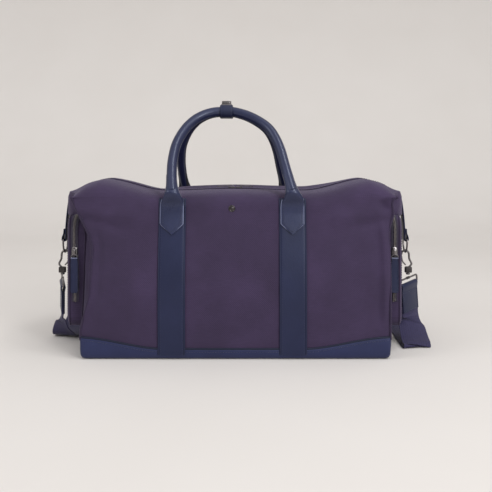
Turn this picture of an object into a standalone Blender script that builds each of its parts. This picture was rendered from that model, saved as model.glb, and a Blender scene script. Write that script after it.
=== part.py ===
"""A soft weekender bag: canvas panels on a leather base, rolled handles, zips and a shoulder strap.

Metres, +Z up. The origin is the middle of the underside. +X is to the right, -Y is the front.
"""

import math

import bmesh
import bpy
from mathutils import Vector

# Driving dimensions
HALF_LENGTH = 0.247          # middle to a front corner, over most of the height
EAR_FLARE = 0.0195           # how far the top corners stand out past that
END_BULGE = 0.021            # how far an end panel stands out past the corners
END_PINCH = 0.006            # how far it is drawn in beside the pocket
HALF_DEPTH = 0.1225          # middle to the front panel, low down
CREST_Y = 0.104              # middle to the front crest
PANEL_TOP = 0.258            # top edge of the upright panels
TOP_START = 0.2588           # underside of the top canvas at its edge
CANVAS = 0.003               # lined canvas thickness
LEATHER = 0.002
GAP = 0.0003
SKIN_GAP = 0.0004            # between a sewn-on layer and what it lies on
BASE_FLOOR = 0.004
MOUTH_HALF = 0.19            # half the length of the main zip's opening
ZIP_HALF = 0.0125            # middle of the zip to the canvas edge
BAND_X = 0.0975              # half the distance between the bands
BAND_SHIFT = -0.003          # the bands and handles sit a little left of the middle
BAND_WIDTH = 0.043
CHAPE_WIDTH = 0.040
HANDLE_RADIUS = 0.0082
HANDLE_PIVOT_Y = 0.120
HANDLE_PIVOT_Z = 0.262
HANDLE_TOP = 0.4055
CLASP_X = -0.0155
POCKET_FACE_X = 0.286
POCKET_HALF = 0.078
POCKET_BOTTOM = 0.040
POCKET_TOP = 0.226
POCKET_WALL = 0.0022
POCKET_LIFT = 0.0014          # between the pocket's rim and the end panel
WEB_WIDTH = 0.048
WEB_THICK = 0.0018
RING_X = 0.3020
RING_BAR_Z = 0.1800

MATERIALS = {
    "canvas": ((0.058, 0.040, 0.085), 0.85, 0.0),
    "leather": ((0.030, 0.042, 0.095), 0.42, 0.0),
    "gunmetal": ((0.16, 0.15, 0.15), 0.28, 1.0),
    "webbing": ((0.028, 0.028, 0.085), 0.7, 0.0),
    "zip_tape": ((0.03, 0.026, 0.04), 0.6, 0.0),
    "board": ((0.20, 0.18, 0.15), 0.8, 0.0),
    "lining": ((0.06, 0.06, 0.08), 0.7, 0.0),
}

made = {}


def clear_scene():
    for old in list(bpy.data.objects):
        bpy.data.objects.remove(old, do_unlink=True)


def material(name):
    found = bpy.data.materials.get(name)
    if found:
        return found
    colour, roughness, metallic = MATERIALS[name]
    new = bpy.data.materials.new(name)
    new.use_nodes = True
    shader = new.node_tree.nodes["Principled BSDF"]
    shader.inputs["Base Color"].default_value = (*colour, 1.0)
    shader.inputs["Roughness"].default_value = roughness
    shader.inputs["Metallic"].default_value = metallic
    return new


def smooth(t):
    t = min(max(t, 0.0), 1.0)
    return t * t * (3 - 2 * t)


def add_mesh(name, points, faces, mat, pivot=(0, 0, 0)):
    """An object whose origin is at pivot; points are in world coordinates."""
    at = Vector(pivot)
    mesh = bpy.data.meshes.new(name)
    mesh.from_pydata([Vector(p) - at for p in points], [], faces)
    bm = bmesh.new()
    bm.from_mesh(mesh)
    bmesh.ops.remove_doubles(bm, verts=bm.verts, dist=1e-7)
    bmesh.ops.recalc_face_normals(bm, faces=bm.faces)
    bm.to_mesh(mesh)
    bm.free()
    mesh.shade_smooth()
    mesh.set_sharp_from_angle(angle=math.radians(35))
    obj = bpy.data.objects.new(name, mesh)
    obj.location = at
    obj.data.materials.append(material(mat))
    bpy.context.scene.collection.objects.link(obj)
    made[name] = obj
    return obj


def sheet_solid(name, outer, inner, mat, pivot=(0, 0, 0)):
    """A closed solid between two grids of points of the same size."""
    rows, cols = len(outer), len(outer[0])
    points = [p for row in outer for p in row] + [p for row in inner for p in row]
    half = rows * cols
    faces = []
    for i in range(rows - 1):
        for j in range(cols - 1):
            a, b = i * cols + j, i * cols + j + 1
            c, d = a + cols + 1, a + cols
            faces.append((a, b, c, d))
            faces.append((half + d, half + c, half + b, half + a))
    rim = [(0, j) for j in range(cols)] + [(i, cols - 1) for i in range(1, rows)]
    rim += [(rows - 1, j) for j in range(cols - 2, -1, -1)] + [(i, 0) for i in range(rows - 2, 0, -1)]
    for n, (i, j) in enumerate(rim):
        k, m = rim[(n + 1) % len(rim)]
        a, b = i * cols + j, k * cols + m
        faces.append((b, a, half + a, half + b))
    return add_mesh(name, points, faces, mat, pivot)


def loop_solid(name, loops, mat, pivot=(0, 0, 0)):
    """A closed solid through a chain of point loops, capped flat at both ends."""
    count = len(loops[0])
    points = [p for loop in loops for p in loop]
    faces = [tuple(range(count))[::-1]]
    for k in range(len(loops) - 1):
        for i in range(count):
            j = (i + 1) % count
            faces.append((k * count + i, k * count + j, (k + 1) * count + j, (k + 1) * count + i))
    last = (len(loops) - 1) * count
    faces.append(tuple(last + i for i in range(count)))
    return add_mesh(name, points, faces, mat, pivot)


def strip_solid(name, path, thickness, width, place, mat, pivot=(0, 0, 0)):
    """A strap folded along a flat path [(a, b)], width wide; place(a, b, across) gives a world point."""
    left, right = [], []
    for i, point in enumerate(path):
        before = path[max(i - 1, 0)]
        after = path[min(i + 1, len(path) - 1)]
        run = Vector((after[0] - before[0], after[1] - before[1])).normalized()
        side = Vector((-run.y, run.x)) * thickness / 2
        left.append((point[0] + side.x, point[1] + side.y))
        right.append((point[0] - side.x, point[1] - side.y))
    outer = [[place(a, b, s * width / 2) for a, b in left] for s in (-1, 1)]
    inner = [[place(a, b, s * width / 2) for a, b in right] for s in (-1, 1)]
    return sheet_solid(name, outer, inner, mat, pivot)


def wire(name, points, radius, mat, pivot=(0, 0, 0), closed=False, sides=2):
    """A round wire or tube through points, with its origin at pivot."""
    at = Vector(pivot)
    curve = bpy.data.curves.new(name, "CURVE")
    curve.dimensions = "3D"
    curve.bevel_depth = radius
    curve.bevel_resolution = sides
    curve.use_fill_caps = True
    spline = curve.splines.new("POLY")
    spline.points.add(len(points) - 1)
    for slot, point in zip(spline.points, points):
        slot.co = (*(Vector(point) - at), 1.0)
    spline.use_cyclic_u = closed
    spline.use_smooth = True
    obj = bpy.data.objects.new(name, curve)
    obj.location = at
    obj.data.materials.append(material(mat))
    bpy.context.scene.collection.objects.link(obj)
    made[name] = obj
    return obj


def curve_points(keys, steps):
    """A smooth curve (Catmull-Rom) through keys, steps points between each two."""
    keys = [Vector(k) for k in keys]
    ends = [2 * keys[0] - keys[1]] + keys + [2 * keys[-1] - keys[-2]]
    out = []
    for i in range(1, len(ends) - 2):
        a, b, c, d = ends[i - 1:i + 3]
        for n in range(steps):
            t = n / steps
            out.append(0.5 * (2 * b + (c - a) * t + (2 * a - 5 * b + 4 * c - d) * t * t
                              + (3 * b - a - 3 * c + d) * t ** 3))
    out.append(keys[-1])
    return out


def arc(centre, radius, start, end, steps):
    """Points (a, b) on an arc, angles in degrees."""
    span = [math.radians(start + (end - start) * n / steps) for n in range(steps + 1)]
    return [(centre[0] + radius * math.cos(t), centre[1] + radius * math.sin(t)) for t in span]


def box_points(low, high):
    (x0, y0, z0), (x1, y1, z1) = low, high
    return [(x0, y0, z0), (x1, y0, z0), (x1, y1, z0), (x0, y1, z0),
            (x0, y0, z1), (x1, y0, z1), (x1, y1, z1), (x0, y1, z1)]


BOX_FACES = [(0, 3, 2, 1), (4, 5, 6, 7), (0, 1, 5, 4), (1, 2, 6, 5), (2, 3, 7, 6), (3, 0, 4, 7)]


# The bag's outer form

def half_length(z):
    """Middle to the corner between the front and an end, at height z."""
    return HALF_LENGTH + EAR_FLARE * smooth((z - 0.19) / 0.07)


def half_depth(x, z):
    """Middle to the outside of the front panel."""
    lean = (HALF_DEPTH - CREST_Y - 0.002) * smooth((z - 0.09) / 0.18)
    belly = 0.004 * math.cos(math.pi * x / 0.56) * math.sin(math.pi * min(z, 0.26) / 0.26)
    return HALF_DEPTH - lean + belly - 0.002


def end_x(s, z):
    """Middle to the outside of an end panel; s runs from -1 at the front corner to 1 at the rear one."""
    bulge = (END_BULGE + 0.003 * smooth((z - 0.19) / 0.07)) * (1 - s * s) ** 1.5
    pinch = END_PINCH * math.sin(math.pi * min(1.0, (1 - abs(s)) / 0.5)) * smooth(z / 0.12)
    return half_length(z) - 0.0008 + bulge - pinch


def seam_height(x, s=0.0):
    """Top of the leather base wall: low in the middle of the front, higher at the corners."""
    return 0.0165 + 0.0185 * smooth((abs(x) - 0.11) / 0.14)


def zip_height(x):
    """Height of the main zip's line along the top."""
    x = abs(x)
    return (0.2700 - 0.003 * smooth(x / 0.12) + 0.0215 * smooth((x - 0.12) / 0.115)
            - 0.0270 * smooth((x - 0.235) / 0.054))


def top_under(x, s):
    """Underside of the top canvas; s is -1 at the front crest and 1 at the rear one."""
    return TOP_START + (zip_height(x) - CANVAS - TOP_START) * (1 - s * s) ** 0.6


def outline(z, inset, across=16, down=16):
    """The bag's plan at height z, inset from its outside, as one loop."""
    limit = half_length(z) - inset
    xs = [-limit + 2 * limit * i / across for i in range(across + 1)]
    front = [(x, -(half_depth(x, z) - inset)) for x in xs]
    right = []
    for j in range(1, down):
        s = -1 + 2 * j / down
        right.append((end_x(s, z) - inset, s * (half_depth(limit, z) - inset)))
    rear = [(x, -y) for x, y in reversed(front)]
    left = [(-x, -y) for x, y in right]
    return front + right + rear + left


def panel_levels(bottom, top, rows=15):
    return [bottom + (top - bottom) * i / rows for i in range(rows + 1)]


def build_base():
    loops = []
    for z, inset in ((0.0, 0.007), (0.002, 0.002), (0.007, 0.0)):
        loops.append([(x, y, z) for x, y in outline(z, inset)])
    loops.append([(x, y, seam_height(x)) for x, y in outline(0.017, 0.0)])
    loops.append([(x, y, seam_height(x)) for x, y in outline(0.017, CANVAS)])
    loops.append([(x, y, BASE_FLOOR + 0.003) for x, y in outline(0.007, CANVAS)])
    loops.append([(x, y, BASE_FLOOR) for x, y in outline(0.004, CANVAS + 0.003)])
    loop_solid("base_panel", loops, "leather")
    half_x, half_y = 0.232, 0.108
    low, high = BASE_FLOOR + GAP, BASE_FLOOR + GAP + 0.0025
    add_mesh("base_board", box_points((-half_x, -half_y, low), (half_x, half_y, high)), BOX_FACES, "board")
    lining_floor = high + GAP
    skin = CANVAS + 0.0024
    thick = 0.0008
    loops = [[(x, y, lining_floor) for x, y in outline(0.02, skin + 0.006)]]
    levels = panel_levels(0.020, 0.190, 5) + panel_levels(0.190, 0.246, 4)[1:]
    for z in levels:
        loops.append([(x, y, z) for x, y in outline(z, skin)])
    for z in reversed(levels):
        loops.append([(x, y, z) for x, y in outline(z, skin + thick)])
    loops.append([(x, y, lining_floor + thick) for x, y in outline(0.02, skin + 0.006 + thick)])
    loop_solid("lining", loops, "lining")


def upright_panel(name, side, x_from, x_to, offset, thick, mat, bottom, top, cols, width_at=None):
    """A piece of the front (side -1) or rear (side 1) wall; offset lifts it off the wall's outside."""
    outer, inner = [], []
    for z_row in panel_levels(0.0, 1.0):
        out_row, in_row = [], []
        for i in range(cols + 1):
            u = i / cols
            z_low = bottom(x_from + (x_to - x_from) * u)
            z = z_low + (top - z_low) * z_row
            if width_at:
                middle = (x_from + x_to) / 2
                x = middle + (2 * u - 1) * width_at(z)
            else:
                x = x_from + (x_to - x_from) * u
                x *= half_length(z) / HALF_LENGTH if abs(x_from) == HALF_LENGTH else 1.0
            y = half_depth(x, z) + offset
            out_row.append((x, side * (y + thick), z))
            in_row.append((x, side * y, z))
        outer.append(out_row)
        inner.append(in_row)
    return sheet_solid(name, outer, inner, mat)


def build_walls():
    for side, word in ((-1, "front"), (1, "rear")):
        upright_panel(f"{word}_panel", side, -HALF_LENGTH, HALF_LENGTH, -CANVAS, CANVAS, "canvas",
                      lambda x: seam_height(x) + GAP, PANEL_TOP, 20)
        for sign, hand in ((-1, "left"), (1, "right")):
            middle = sign * BAND_X + BAND_SHIFT
            upright_panel(f"{word}_{hand}_band", side, middle - BAND_WIDTH / 2, middle + BAND_WIDTH / 2,
                          SKIN_GAP, LEATHER, "leather", lambda x: 0.008, PANEL_TOP, 3)

            def chape_width(z):
                point, shoulder = 0.200, 0.2175
                if z < shoulder:
                    return 0.0015 + (CHAPE_WIDTH / 2 - 0.0015) * (z - point) / (shoulder - point)
                return CHAPE_WIDTH / 2 - 0.007 * smooth((z - 0.240) / 0.018)

            upright_panel(f"{word}_{hand}_chape", side, middle - CHAPE_WIDTH / 2,
                          middle + CHAPE_WIDTH / 2, 2 * SKIN_GAP + LEATHER, 0.003, "leather",
                          lambda x: 0.200, PANEL_TOP, 4, chape_width)
    for sign, hand in ((-1, "left"), (1, "right")):
        outer, inner = [], []
        for row in panel_levels(0.0, 1.0):
            out_row, in_row = [], []
            for j in range(17):
                s = -1 + j / 8
                bottom = seam_height(HALF_LENGTH) + GAP
                z = bottom + (PANEL_TOP - bottom) * row
                reach = half_depth(half_length(z), z) - CANVAS - 0.0005
                out_row.append((sign * end_x(s, z), s * reach, z))
                in_row.append((sign * (end_x(s, z) - CANVAS), s * reach, z))
            outer.append(out_row)
            inner.append(in_row)
        sheet_solid(f"{hand}_end_panel", outer, inner, "canvas")


def build_top():
    levels = 12
    for side, word in ((-1, "front"), (1, "rear")):
        pivot = (0, side * CREST_Y, TOP_START)
        outer, inner, tape_out, tape_in = [], [], [], []
        for i in range(levels * 2 + 1):
            x = -MOUTH_HALF + MOUTH_HALF * i / levels
            out_row, in_row = [], []
            for j in range(9):
                s = 1 - (1 - ZIP_HALF / CREST_Y) * (j / 8) ** 1.5
                z = top_under(x, s)
                out_row.append((x, side * s * CREST_Y, z + CANVAS))
                in_row.append((x, side * s * CREST_Y, z))
            outer.append(out_row)
            inner.append(in_row)
            near = 0.0042 if abs(x) < 0.02 else GAP / 2
            edges = [ZIP_HALF - GAP, near]
            tape_out.append([(x, side * y, zip_height(x) - 0.0002) for y in edges])
            tape_in.append([(x, side * y, zip_height(x) - 0.0017) for y in edges])
        sheet_solid(f"{word}_mouth_panel", outer, inner, "canvas", pivot)
        sheet_solid(f"{word}_zip_tape", tape_out, tape_in, "zip_tape", pivot)
    for sign, hand in ((-1, "left"), (1, "right")):
        outer, inner = [], []
        for i in range(9):
            u = i / 8
            out_row, in_row = [], []
            for j in range(17):
                s = -1 + j / 8
                s = math.copysign(1 - (1 - abs(s)) ** 1.4, s)
                x = MOUTH_HALF + GAP + (end_x(s, 0.262) - MOUTH_HALF - GAP) * u
                z = top_under(x, s)
                z = TOP_START + (z - TOP_START) * (1 - u ** 6)
                depth = CREST_Y
                out_row.append((sign * x, s * depth, z + CANVAS))
                in_row.append((sign * x, s * depth, z))
            outer.append(out_row)
            inner.append(in_row)
        sheet_solid(f"{hand}_top_end", outer, inner, "canvas")


def slider(name, at, along, across, up, mat, scale=1.0, pivot=None):
    """A zip slider: two plates joined by a post at one end; along points to the post."""
    at, along, across, up = Vector(at), Vector(along), Vector(across), Vector(up)
    half_l, half_w = 0.0060 * scale, 0.0045 * scale
    post_from = 0.0030 * scale
    top, bottom, mid = 0.0028, -0.0045, 0.0016

    def spot(a, b, c):
        return at + along * a + across * b + up * c

    post_half = 0.0014
    pieces = []
    for low, high in ((mid - 0.0004, top), (bottom, bottom + 0.0012)):
        pieces.append([spot(a, b, c) for c in (low, high) for a, b in
                       ((-half_l, -half_w), (half_l, -half_w), (half_l, half_w), (-half_l, half_w))])
    pieces.append([spot(a, b, c) for c in (bottom + 0.0002, top - 0.0002) for a, b in
                   ((post_from, -post_half), (half_l - 0.0002, -post_half),
                    (half_l - 0.0002, post_half), (post_from, post_half))])
    pieces.append([spot(a, b, c) for c in (top - 0.0002, top + 0.0030) for a, b in
                   ((-0.0028, -0.0009), (0.0016, -0.0009), (0.0016, 0.0009), (-0.0028, 0.0009))])
    body = None
    for n, points in enumerate(pieces):
        obj = add_mesh(name if n == 0 else f"{name}_cut{n}", points, BOX_FACES, mat,
                       pivot or tuple(at))
        if n == 0:
            body = obj
            continue
        obj.hide_render = True
        obj.display_type = "WIRE"
        joined = body.modifiers.new(f"join{n}", "BOOLEAN")
        joined.operation = "UNION"
        joined.solver = "EXACT"
        joined.object = obj
        made.pop(obj.name)
    return body


def build_zips():
    for sign, hand in ((-1, "left"), (1, "right")):
        x = sign * 0.0068
        slider(f"main_zip_{hand}_slider", (x, 0, zip_height(0) - 0.0002), (-sign, 0, 0), (0, 1, 0),
               (0, 0, 1), "gunmetal")
        height = zip_height(0) + 0.0047
        hinge = (x - sign * 0.0008, 0, height)
        path = [(0.0034, -0.0003), (0.010, -0.0006), (0.019, -0.0012), (0.0255, -0.0016)]
        strip_solid(f"main_zip_{hand}_pull", [(a, b) for a, b in path], 0.0012, 0.0068,
                    lambda a, b, c, x=x, sign=sign: (x + sign * a, c, height + b),
                    "gunmetal", hinge)


def pocket_outline(inset, turn=4, run=7):
    """A rounded rectangle (y, z) inset from the pocket's edge."""
    half_y = POCKET_HALF - inset
    mid = (POCKET_TOP + POCKET_BOTTOM) / 2
    half_z = (POCKET_TOP - POCKET_BOTTOM) / 2 - inset
    corner = max(0.022 - inset, 0.004)
    corners = []
    for q, (sy, sz) in enumerate(((1, 1), (-1, 1), (-1, -1), (1, -1))):
        middle = (sy * (half_y - corner), mid + sz * (half_z - corner))
        corners.append(arc(middle, corner, 90 * q, 90 * q + 90, turn))
    points = []
    for q, bend in enumerate(corners):
        (y0, z0), (y1, z1) = bend[-1], corners[(q + 1) % 4][0]
        points += bend
        points += [(y0 + (y1 - y0) * n / run, z0 + (z1 - z0) * n / run) for n in range(1, run)]
    return points


def wall_x(y, z):
    return end_x(max(-1.0, min(1.0, y / (half_depth(HALF_LENGTH, z) - CANVAS))), z)


def pocket_face(y):
    return POCKET_FACE_X - 0.006 * (y / 0.07) ** 2


def build_pockets():
    for sign, hand in ((-1, "left"), (1, "right")):
        loops = []
        for inset in (0.060, 0.035, 0.012, 0.004):
            drop = 0.0008 if inset == 0.004 else 0.0
            loops.append([(sign * (pocket_face(y) - drop), y, z) for y, z in pocket_outline(inset)])
        loops.append([(sign * (pocket_face(y) - 0.005), y, z) for y, z in pocket_outline(0)])
        loops.append([(sign * (wall_x(y, z) + POCKET_LIFT), y, z) for y, z in pocket_outline(0)])
        loops.append([(sign * (wall_x(y, z) + POCKET_LIFT), y, z) for y, z in pocket_outline(POCKET_WALL)])
        for inset in (0.006, 0.014, 0.035, 0.060):
            loops.append([(sign * (pocket_face(y) - POCKET_WALL - (0.002 if inset == 0.006 else 0)), y, z)
                          for y, z in pocket_outline(inset)])
        loop_solid(f"{hand}_pocket", loops, "canvas")
        zip_x = 0.2655
        zip_y = -POCKET_HALF - SKIN_GAP
        low, high = 0.150, 0.204
        x0, x1 = sorted((sign * (zip_x - 0.0042), sign * (zip_x + 0.0042)))
        add_mesh(f"{hand}_pocket_zip", box_points((x0, zip_y - 0.0014, low), (x1, zip_y, high)), BOX_FACES,
                 "zip_tape")
        plate_y = zip_y - 0.0014 - GAP
        z = 0.168
        x0, x1 = sorted((sign * (zip_x - 0.005), sign * (zip_x + 0.005)))
        body = add_mesh(f"{hand}_pocket_slider", box_points((x0, plate_y - 0.003, z - 0.008),
                        (x1, plate_y, z + 0.008)), BOX_FACES, "gunmetal", (sign * zip_x, plate_y, z))
        bevel = body.modifiers.new("soften", "BEVEL")
        bevel.width = 0.0012
        bevel.segments = 2
        hinge_z = z - 0.0095
        pull_y = plate_y - 0.0035
        path = [(pull_y, hinge_z), (pull_y - 0.0004, hinge_z - 0.02), (pull_y, hinge_z - 0.0585)]
        strip_solid(f"{hand}_pocket_pull", path, 0.0026, 0.013,
                    lambda a, b, c, sign=sign: (sign * zip_x + c, a, b),
                    "leather", (sign * zip_x, pull_y, hinge_z))


# Handles

HANDLE_KEYS = [
    (-0.1000, 0.2690), (-0.1030, 0.2950), (-0.1034, 0.3200), (-0.0990, 0.3475), (-0.0868, 0.3725),
    (-0.0715, 0.3893), (-0.0556, 0.3990), (-0.0400, 0.4040), (-0.0265, HANDLE_TOP),
    (CLASP_X, HANDLE_TOP), (-0.0045, HANDLE_TOP), (0.0195, 0.3990), (0.0425, 0.3873),
    (0.0590, 0.3738), (0.0700, 0.3560), (0.0778, 0.3350), (0.0840, 0.3090), (0.0900, 0.2850),
    (0.0940, 0.2690)]


def handle_points(side):
    keys = []
    for x, z in HANDLE_KEYS:
        up = (z - 0.2690) / (HANDLE_TOP - 0.2690)
        y = HANDLE_PIVOT_Y - 0.004 - (HANDLE_PIVOT_Y - 0.004 - 0.0095) * up
        keys.append((x, side * y, z))
    return curve_points(keys, 2)


def build_handles():
    for side, word in ((-1, "front"), (1, "rear")):
        pivot = (0, side * HANDLE_PIVOT_Y, HANDLE_PIVOT_Z)
        wire(f"{word}_handle", handle_points(side), HANDLE_RADIUS, "leather", pivot, sides=3)
    pivot = (0, -HANDLE_PIVOT_Y, HANDLE_PIVOT_Z)
    half_x, wall, clear = 0.0110, 0.0022, 0.0012
    loops = []
    for x, grow in ((-half_x, 0.0), (-half_x, wall), (half_x, wall), (half_x, 0.0)):
        radius = HANDLE_RADIUS + clear + grow
        ring = arc((0.0095, HANDLE_TOP), radius, -90, 90, 10) + arc((-0.0095, HANDLE_TOP), radius, 90, 270, 10)
        loops.append([(CLASP_X + x, y, z) for y, z in ring])
    count = len(loops[0])
    points = [p for loop in loops for p in loop]
    faces = []
    for k in range(4):
        for i in range(count):
            j = (i + 1) % count
            m = (k + 1) % 4
            faces.append((k * count + i, k * count + j, m * count + j, m * count + i))
    add_mesh("handle_wrap", points, faces, "leather", pivot)
    top = HANDLE_TOP + HANDLE_RADIUS + clear + wall + GAP
    plate = add_mesh("clasp_plate", box_points((CLASP_X - 0.0095, -0.007, top),
                     (CLASP_X + 0.0095, 0.007, top + 0.0018)), BOX_FACES, "gunmetal", pivot)
    bevel = plate.modifiers.new("soften", "BEVEL")
    bevel.width = 0.0007
    bevel.segments = 2
    knob_low = top + 0.0018 + GAP
    loops = []
    for z, grow in ((0.0, -0.0008), (0.0012, -0.0008), (0.0020, 0.0), (0.0042, 0.0), (0.0054, -0.0010)):
        loops.append([(CLASP_X + a, b, knob_low + z) for a, b in
                      arc((0.0045, 0), 0.0040 + grow, -90, 90, 8) + arc((-0.0045, 0), 0.0040 + grow, 90, 270, 8)])
    loop_solid("clasp_knob", loops, "gunmetal", (CLASP_X, 0, knob_low))
    stud_x, stud_z = -0.004, 0.2412
    face = half_depth(stud_x, stud_z) + 0.0009
    loops = []
    for out, radius in ((0.0, 0.0055), (0.0012, 0.0055), (0.0020, 0.0045), (0.0022, 0.0025)):
        loops.append([(stud_x + a, -(face + out), stud_z + b) for a, b in arc((0, 0), radius, 0, 345, 23)])
    loop_solid("front_stud", loops, "gunmetal")


# Shoulder strap and what it hangs on

def turned(name, centre, profile, mat, pivot, count=16):
    """A round solid about a vertical line through centre; profile is [(radius, height)]."""
    loops = []
    for radius, height in profile:
        loops.append([(centre[0] + a, centre[1] + b, centre[2] + height)
                      for a, b in arc((0, 0), radius, 0, 360 - 360 / count, count - 1)])
    return loop_solid(name, loops, mat, pivot)


LOOP_WIDE = {"right": Vector((0.72, 0.68, 0.12)), "left": Vector((-0.30, 0.945, 0.10))}
HOOK_LEAN = 0.0050


def strap_frame(hand):
    sign = 1 if hand == "right" else -1
    wide = LOOP_WIDE[hand].normalized()
    origin = Vector((sign * (RING_X + HOOK_LEAN + 0.0020), 0, 0.1130))
    normal = wide.cross(Vector((0, 0, 1))).normalized()
    down = normal.cross(wide).normalized()
    if down.z > 0:
        down = -down
    return origin, wide, normal, down


def build_strap_hardware():
    wire_r = 0.0016
    for sign, hand in ((-1, "left"), (1, "right")):
        tab = [(0.2915, 0.2560), (0.2940, 0.2450), (0.2966, 0.2220), (0.2990, 0.1950), (0.2990, 0.1860)]
        turn = arc((RING_X, RING_BAR_Z + 0.0001), 0.0031, 180, 360, 8)
        tab = tab + turn + [(RING_X + 0.0031, 0.1860), (RING_X + 0.0026, 0.1960)]
        strip_solid(f"{hand}_ring_tab", tab, 0.0020, 0.024,
                    lambda a, b, c, sign=sign: (sign * a, c, b), "leather")
        pivot = (sign * RING_X, 0, RING_BAR_Z)
        half = 0.0155
        ring = [(half * math.cos(math.radians(t)), RING_BAR_Z - 0.0050 + (half + 0.003) * math.sin(math.radians(t)))
                for t in range(180, 361, 15)]
        ring += [(half, RING_BAR_Z - 0.0018), (half - 0.0018, RING_BAR_Z),
                 (-half + 0.0018, RING_BAR_Z), (-half, RING_BAR_Z - 0.0018)]
        wire(f"{hand}_d_ring", [(sign * RING_X, y, z) for y, z in ring], wire_r, "gunmetal", pivot, True)
        ring_low = RING_BAR_Z - 0.0050 - half - 0.003
        hook_top = ring_low + wire_r * 2 + GAP
        hook_pivot = (sign * RING_X, 0, ring_low)
        foot = ring_low - 0.0270
        keys = [(HOOK_LEAN + 0.0016, foot), (HOOK_LEAN + 0.0062, foot + 0.0060), (0.0074, foot + 0.0150),
                (0.0062, hook_top - 0.0052), (0.0010, hook_top), (-0.0048, hook_top - 0.0030),
                (-0.0070, hook_top - 0.0090)]
        points = curve_points([(sign * (RING_X + a), 0, b) for a, b in keys], 4)
        wire(f"{hand}_hook", points, wire_r, "gunmetal", hook_pivot)
        gate_keys = [(-0.0062, hook_top - 0.0130), (-0.0044, foot + 0.0100), (HOOK_LEAN - 0.0042, foot + 0.0040)]
        gate = [(sign * (RING_X + a), 0, b) for a, b in gate_keys]
        wire(f"{hand}_hook_gate", gate, 0.0013, "gunmetal", gate[-1])
        centre = (sign * (RING_X + HOOK_LEAN), 0, foot - wire_r - GAP - 0.0002)
        turned(f"{hand}_swivel", centre,
               [(0.0030, 0.0), (0.0048, -0.0010), (0.0048, -0.0062), (0.0026, -0.0070), (0.0026, -0.0080),
                (0.0038, -0.0090), (0.0038, -0.0104), (0.0022, -0.0114)], "gunmetal", hook_pivot)
        origin, wide, normal, down = strap_frame(hand)
        top = Vector((centre[0], 0, centre[2] - 0.0114 - GAP - wire_r - 0.0034))
        origin = top + down * 0.0115
        half_w = WEB_WIDTH / 2 + 0.0036
        corners = []
        for c_x, c_y, start in ((1, 1, 0), (-1, 1, 90), (-1, -1, 180), (1, -1, 270)):
            middle = (c_x * (half_w - 0.003), c_y * 0.0028)
            corners += arc(middle, 0.003, start, start + 90, 3)
        middle = top + down * 0.0058
        points = [middle + wide * a - down * b for a, b in corners]
        wire(f"{hand}_strap_loop", points, wire_r, "gunmetal", hook_pivot, True)
        bar = middle + down * 0.0058
        fold_up = [(a, -b) for a, b in arc((0, 0), 0.0034, 190, -10, 10)]
        path = [(-0.0016, 0.0480), (-0.0017, 0.0090)] + fold_up + [(0.0017, 0.0090), (0.0016, 0.0480)]
        strip_solid(f"{hand}_strap_end", path, 0.0018, WEB_WIDTH - 0.002,
                    lambda a, b, c: bar + normal * a + down * b + wide * c, "leather", hook_pivot)
        STRAP_ENDS[hand] = (bar + down * (0.0480 + 2 * GAP), wide, down)


STRAP_ENDS = {}

# The strap's route from the right end round behind the bag to the left end: the middle of the
# webbing and the direction across it. It hangs, turns on the floor, lies flat, then stands on edge.
STRAP_ROUTE = [
    ((0.3128, 0.0020, 0.0320), (0.85, 0.50, 0.10)), ((0.3120, -0.0140, 0.0225), (0.90, 0.40, 0.10)),
    ((0.3110, -0.0330, 0.0130), (0.94, 0.32, 0.11)), ((0.3100, -0.0490, 0.0076), (0.95, 0.30, 0.10)),
    ((0.3095, -0.0535, 0.0038), (0.98, 0.20, 0.05)),
    ((0.3095, -0.0420, 0.0014), (1.0, 0.08, 0.0)), ((0.3105, 0.0000, 0.0013), (1.0, -0.03, 0.0)),
    ((0.3130, 0.0600, 0.0020), (1.0, -0.03, 0.05)), ((0.3120, 0.0980, 0.0070), (0.93, 0.10, 0.30)),
    ((0.3020, 0.1340, 0.0165), (0.66, 0.25, 0.70)), ((0.2780, 0.1640, 0.0235), (0.25, 0.18, 0.95)),
    ((0.2400, 0.1800, 0.0245), (0.0, 0.02, 1.0)), ((0.1700, 0.1830, 0.0245), (0.0, 0.0, 1.0)),
    ((0.0800, 0.1760, 0.0245), (0.0, 0.0, 1.0)), ((-0.0200, 0.1700, 0.0245), (0.0, 0.0, 1.0)),
    ((-0.1200, 0.1760, 0.0245), (0.0, 0.0, 1.0)), ((-0.2000, 0.1820, 0.0245), (0.0, 0.0, 1.0)),
    ((-0.2560, 0.1770, 0.0240), (-0.08, 0.05, 1.0)), ((-0.2880, 0.1560, 0.0200), (-0.35, 0.20, 0.92)),
    ((-0.3020, 0.1240, 0.0110), (-0.80, 0.20, 0.55)), ((-0.3060, 0.0900, 0.0036), (-0.98, 0.05, 0.12)),
    ((-0.3060, 0.0500, 0.0016), (-1.0, 0.02, 0.0)), ((-0.3070, 0.0180, 0.0060), (-0.97, 0.22, 0.02)),
    ((-0.3090, 0.0060, 0.0260), (-0.65, 0.72, 0.05))]


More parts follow.
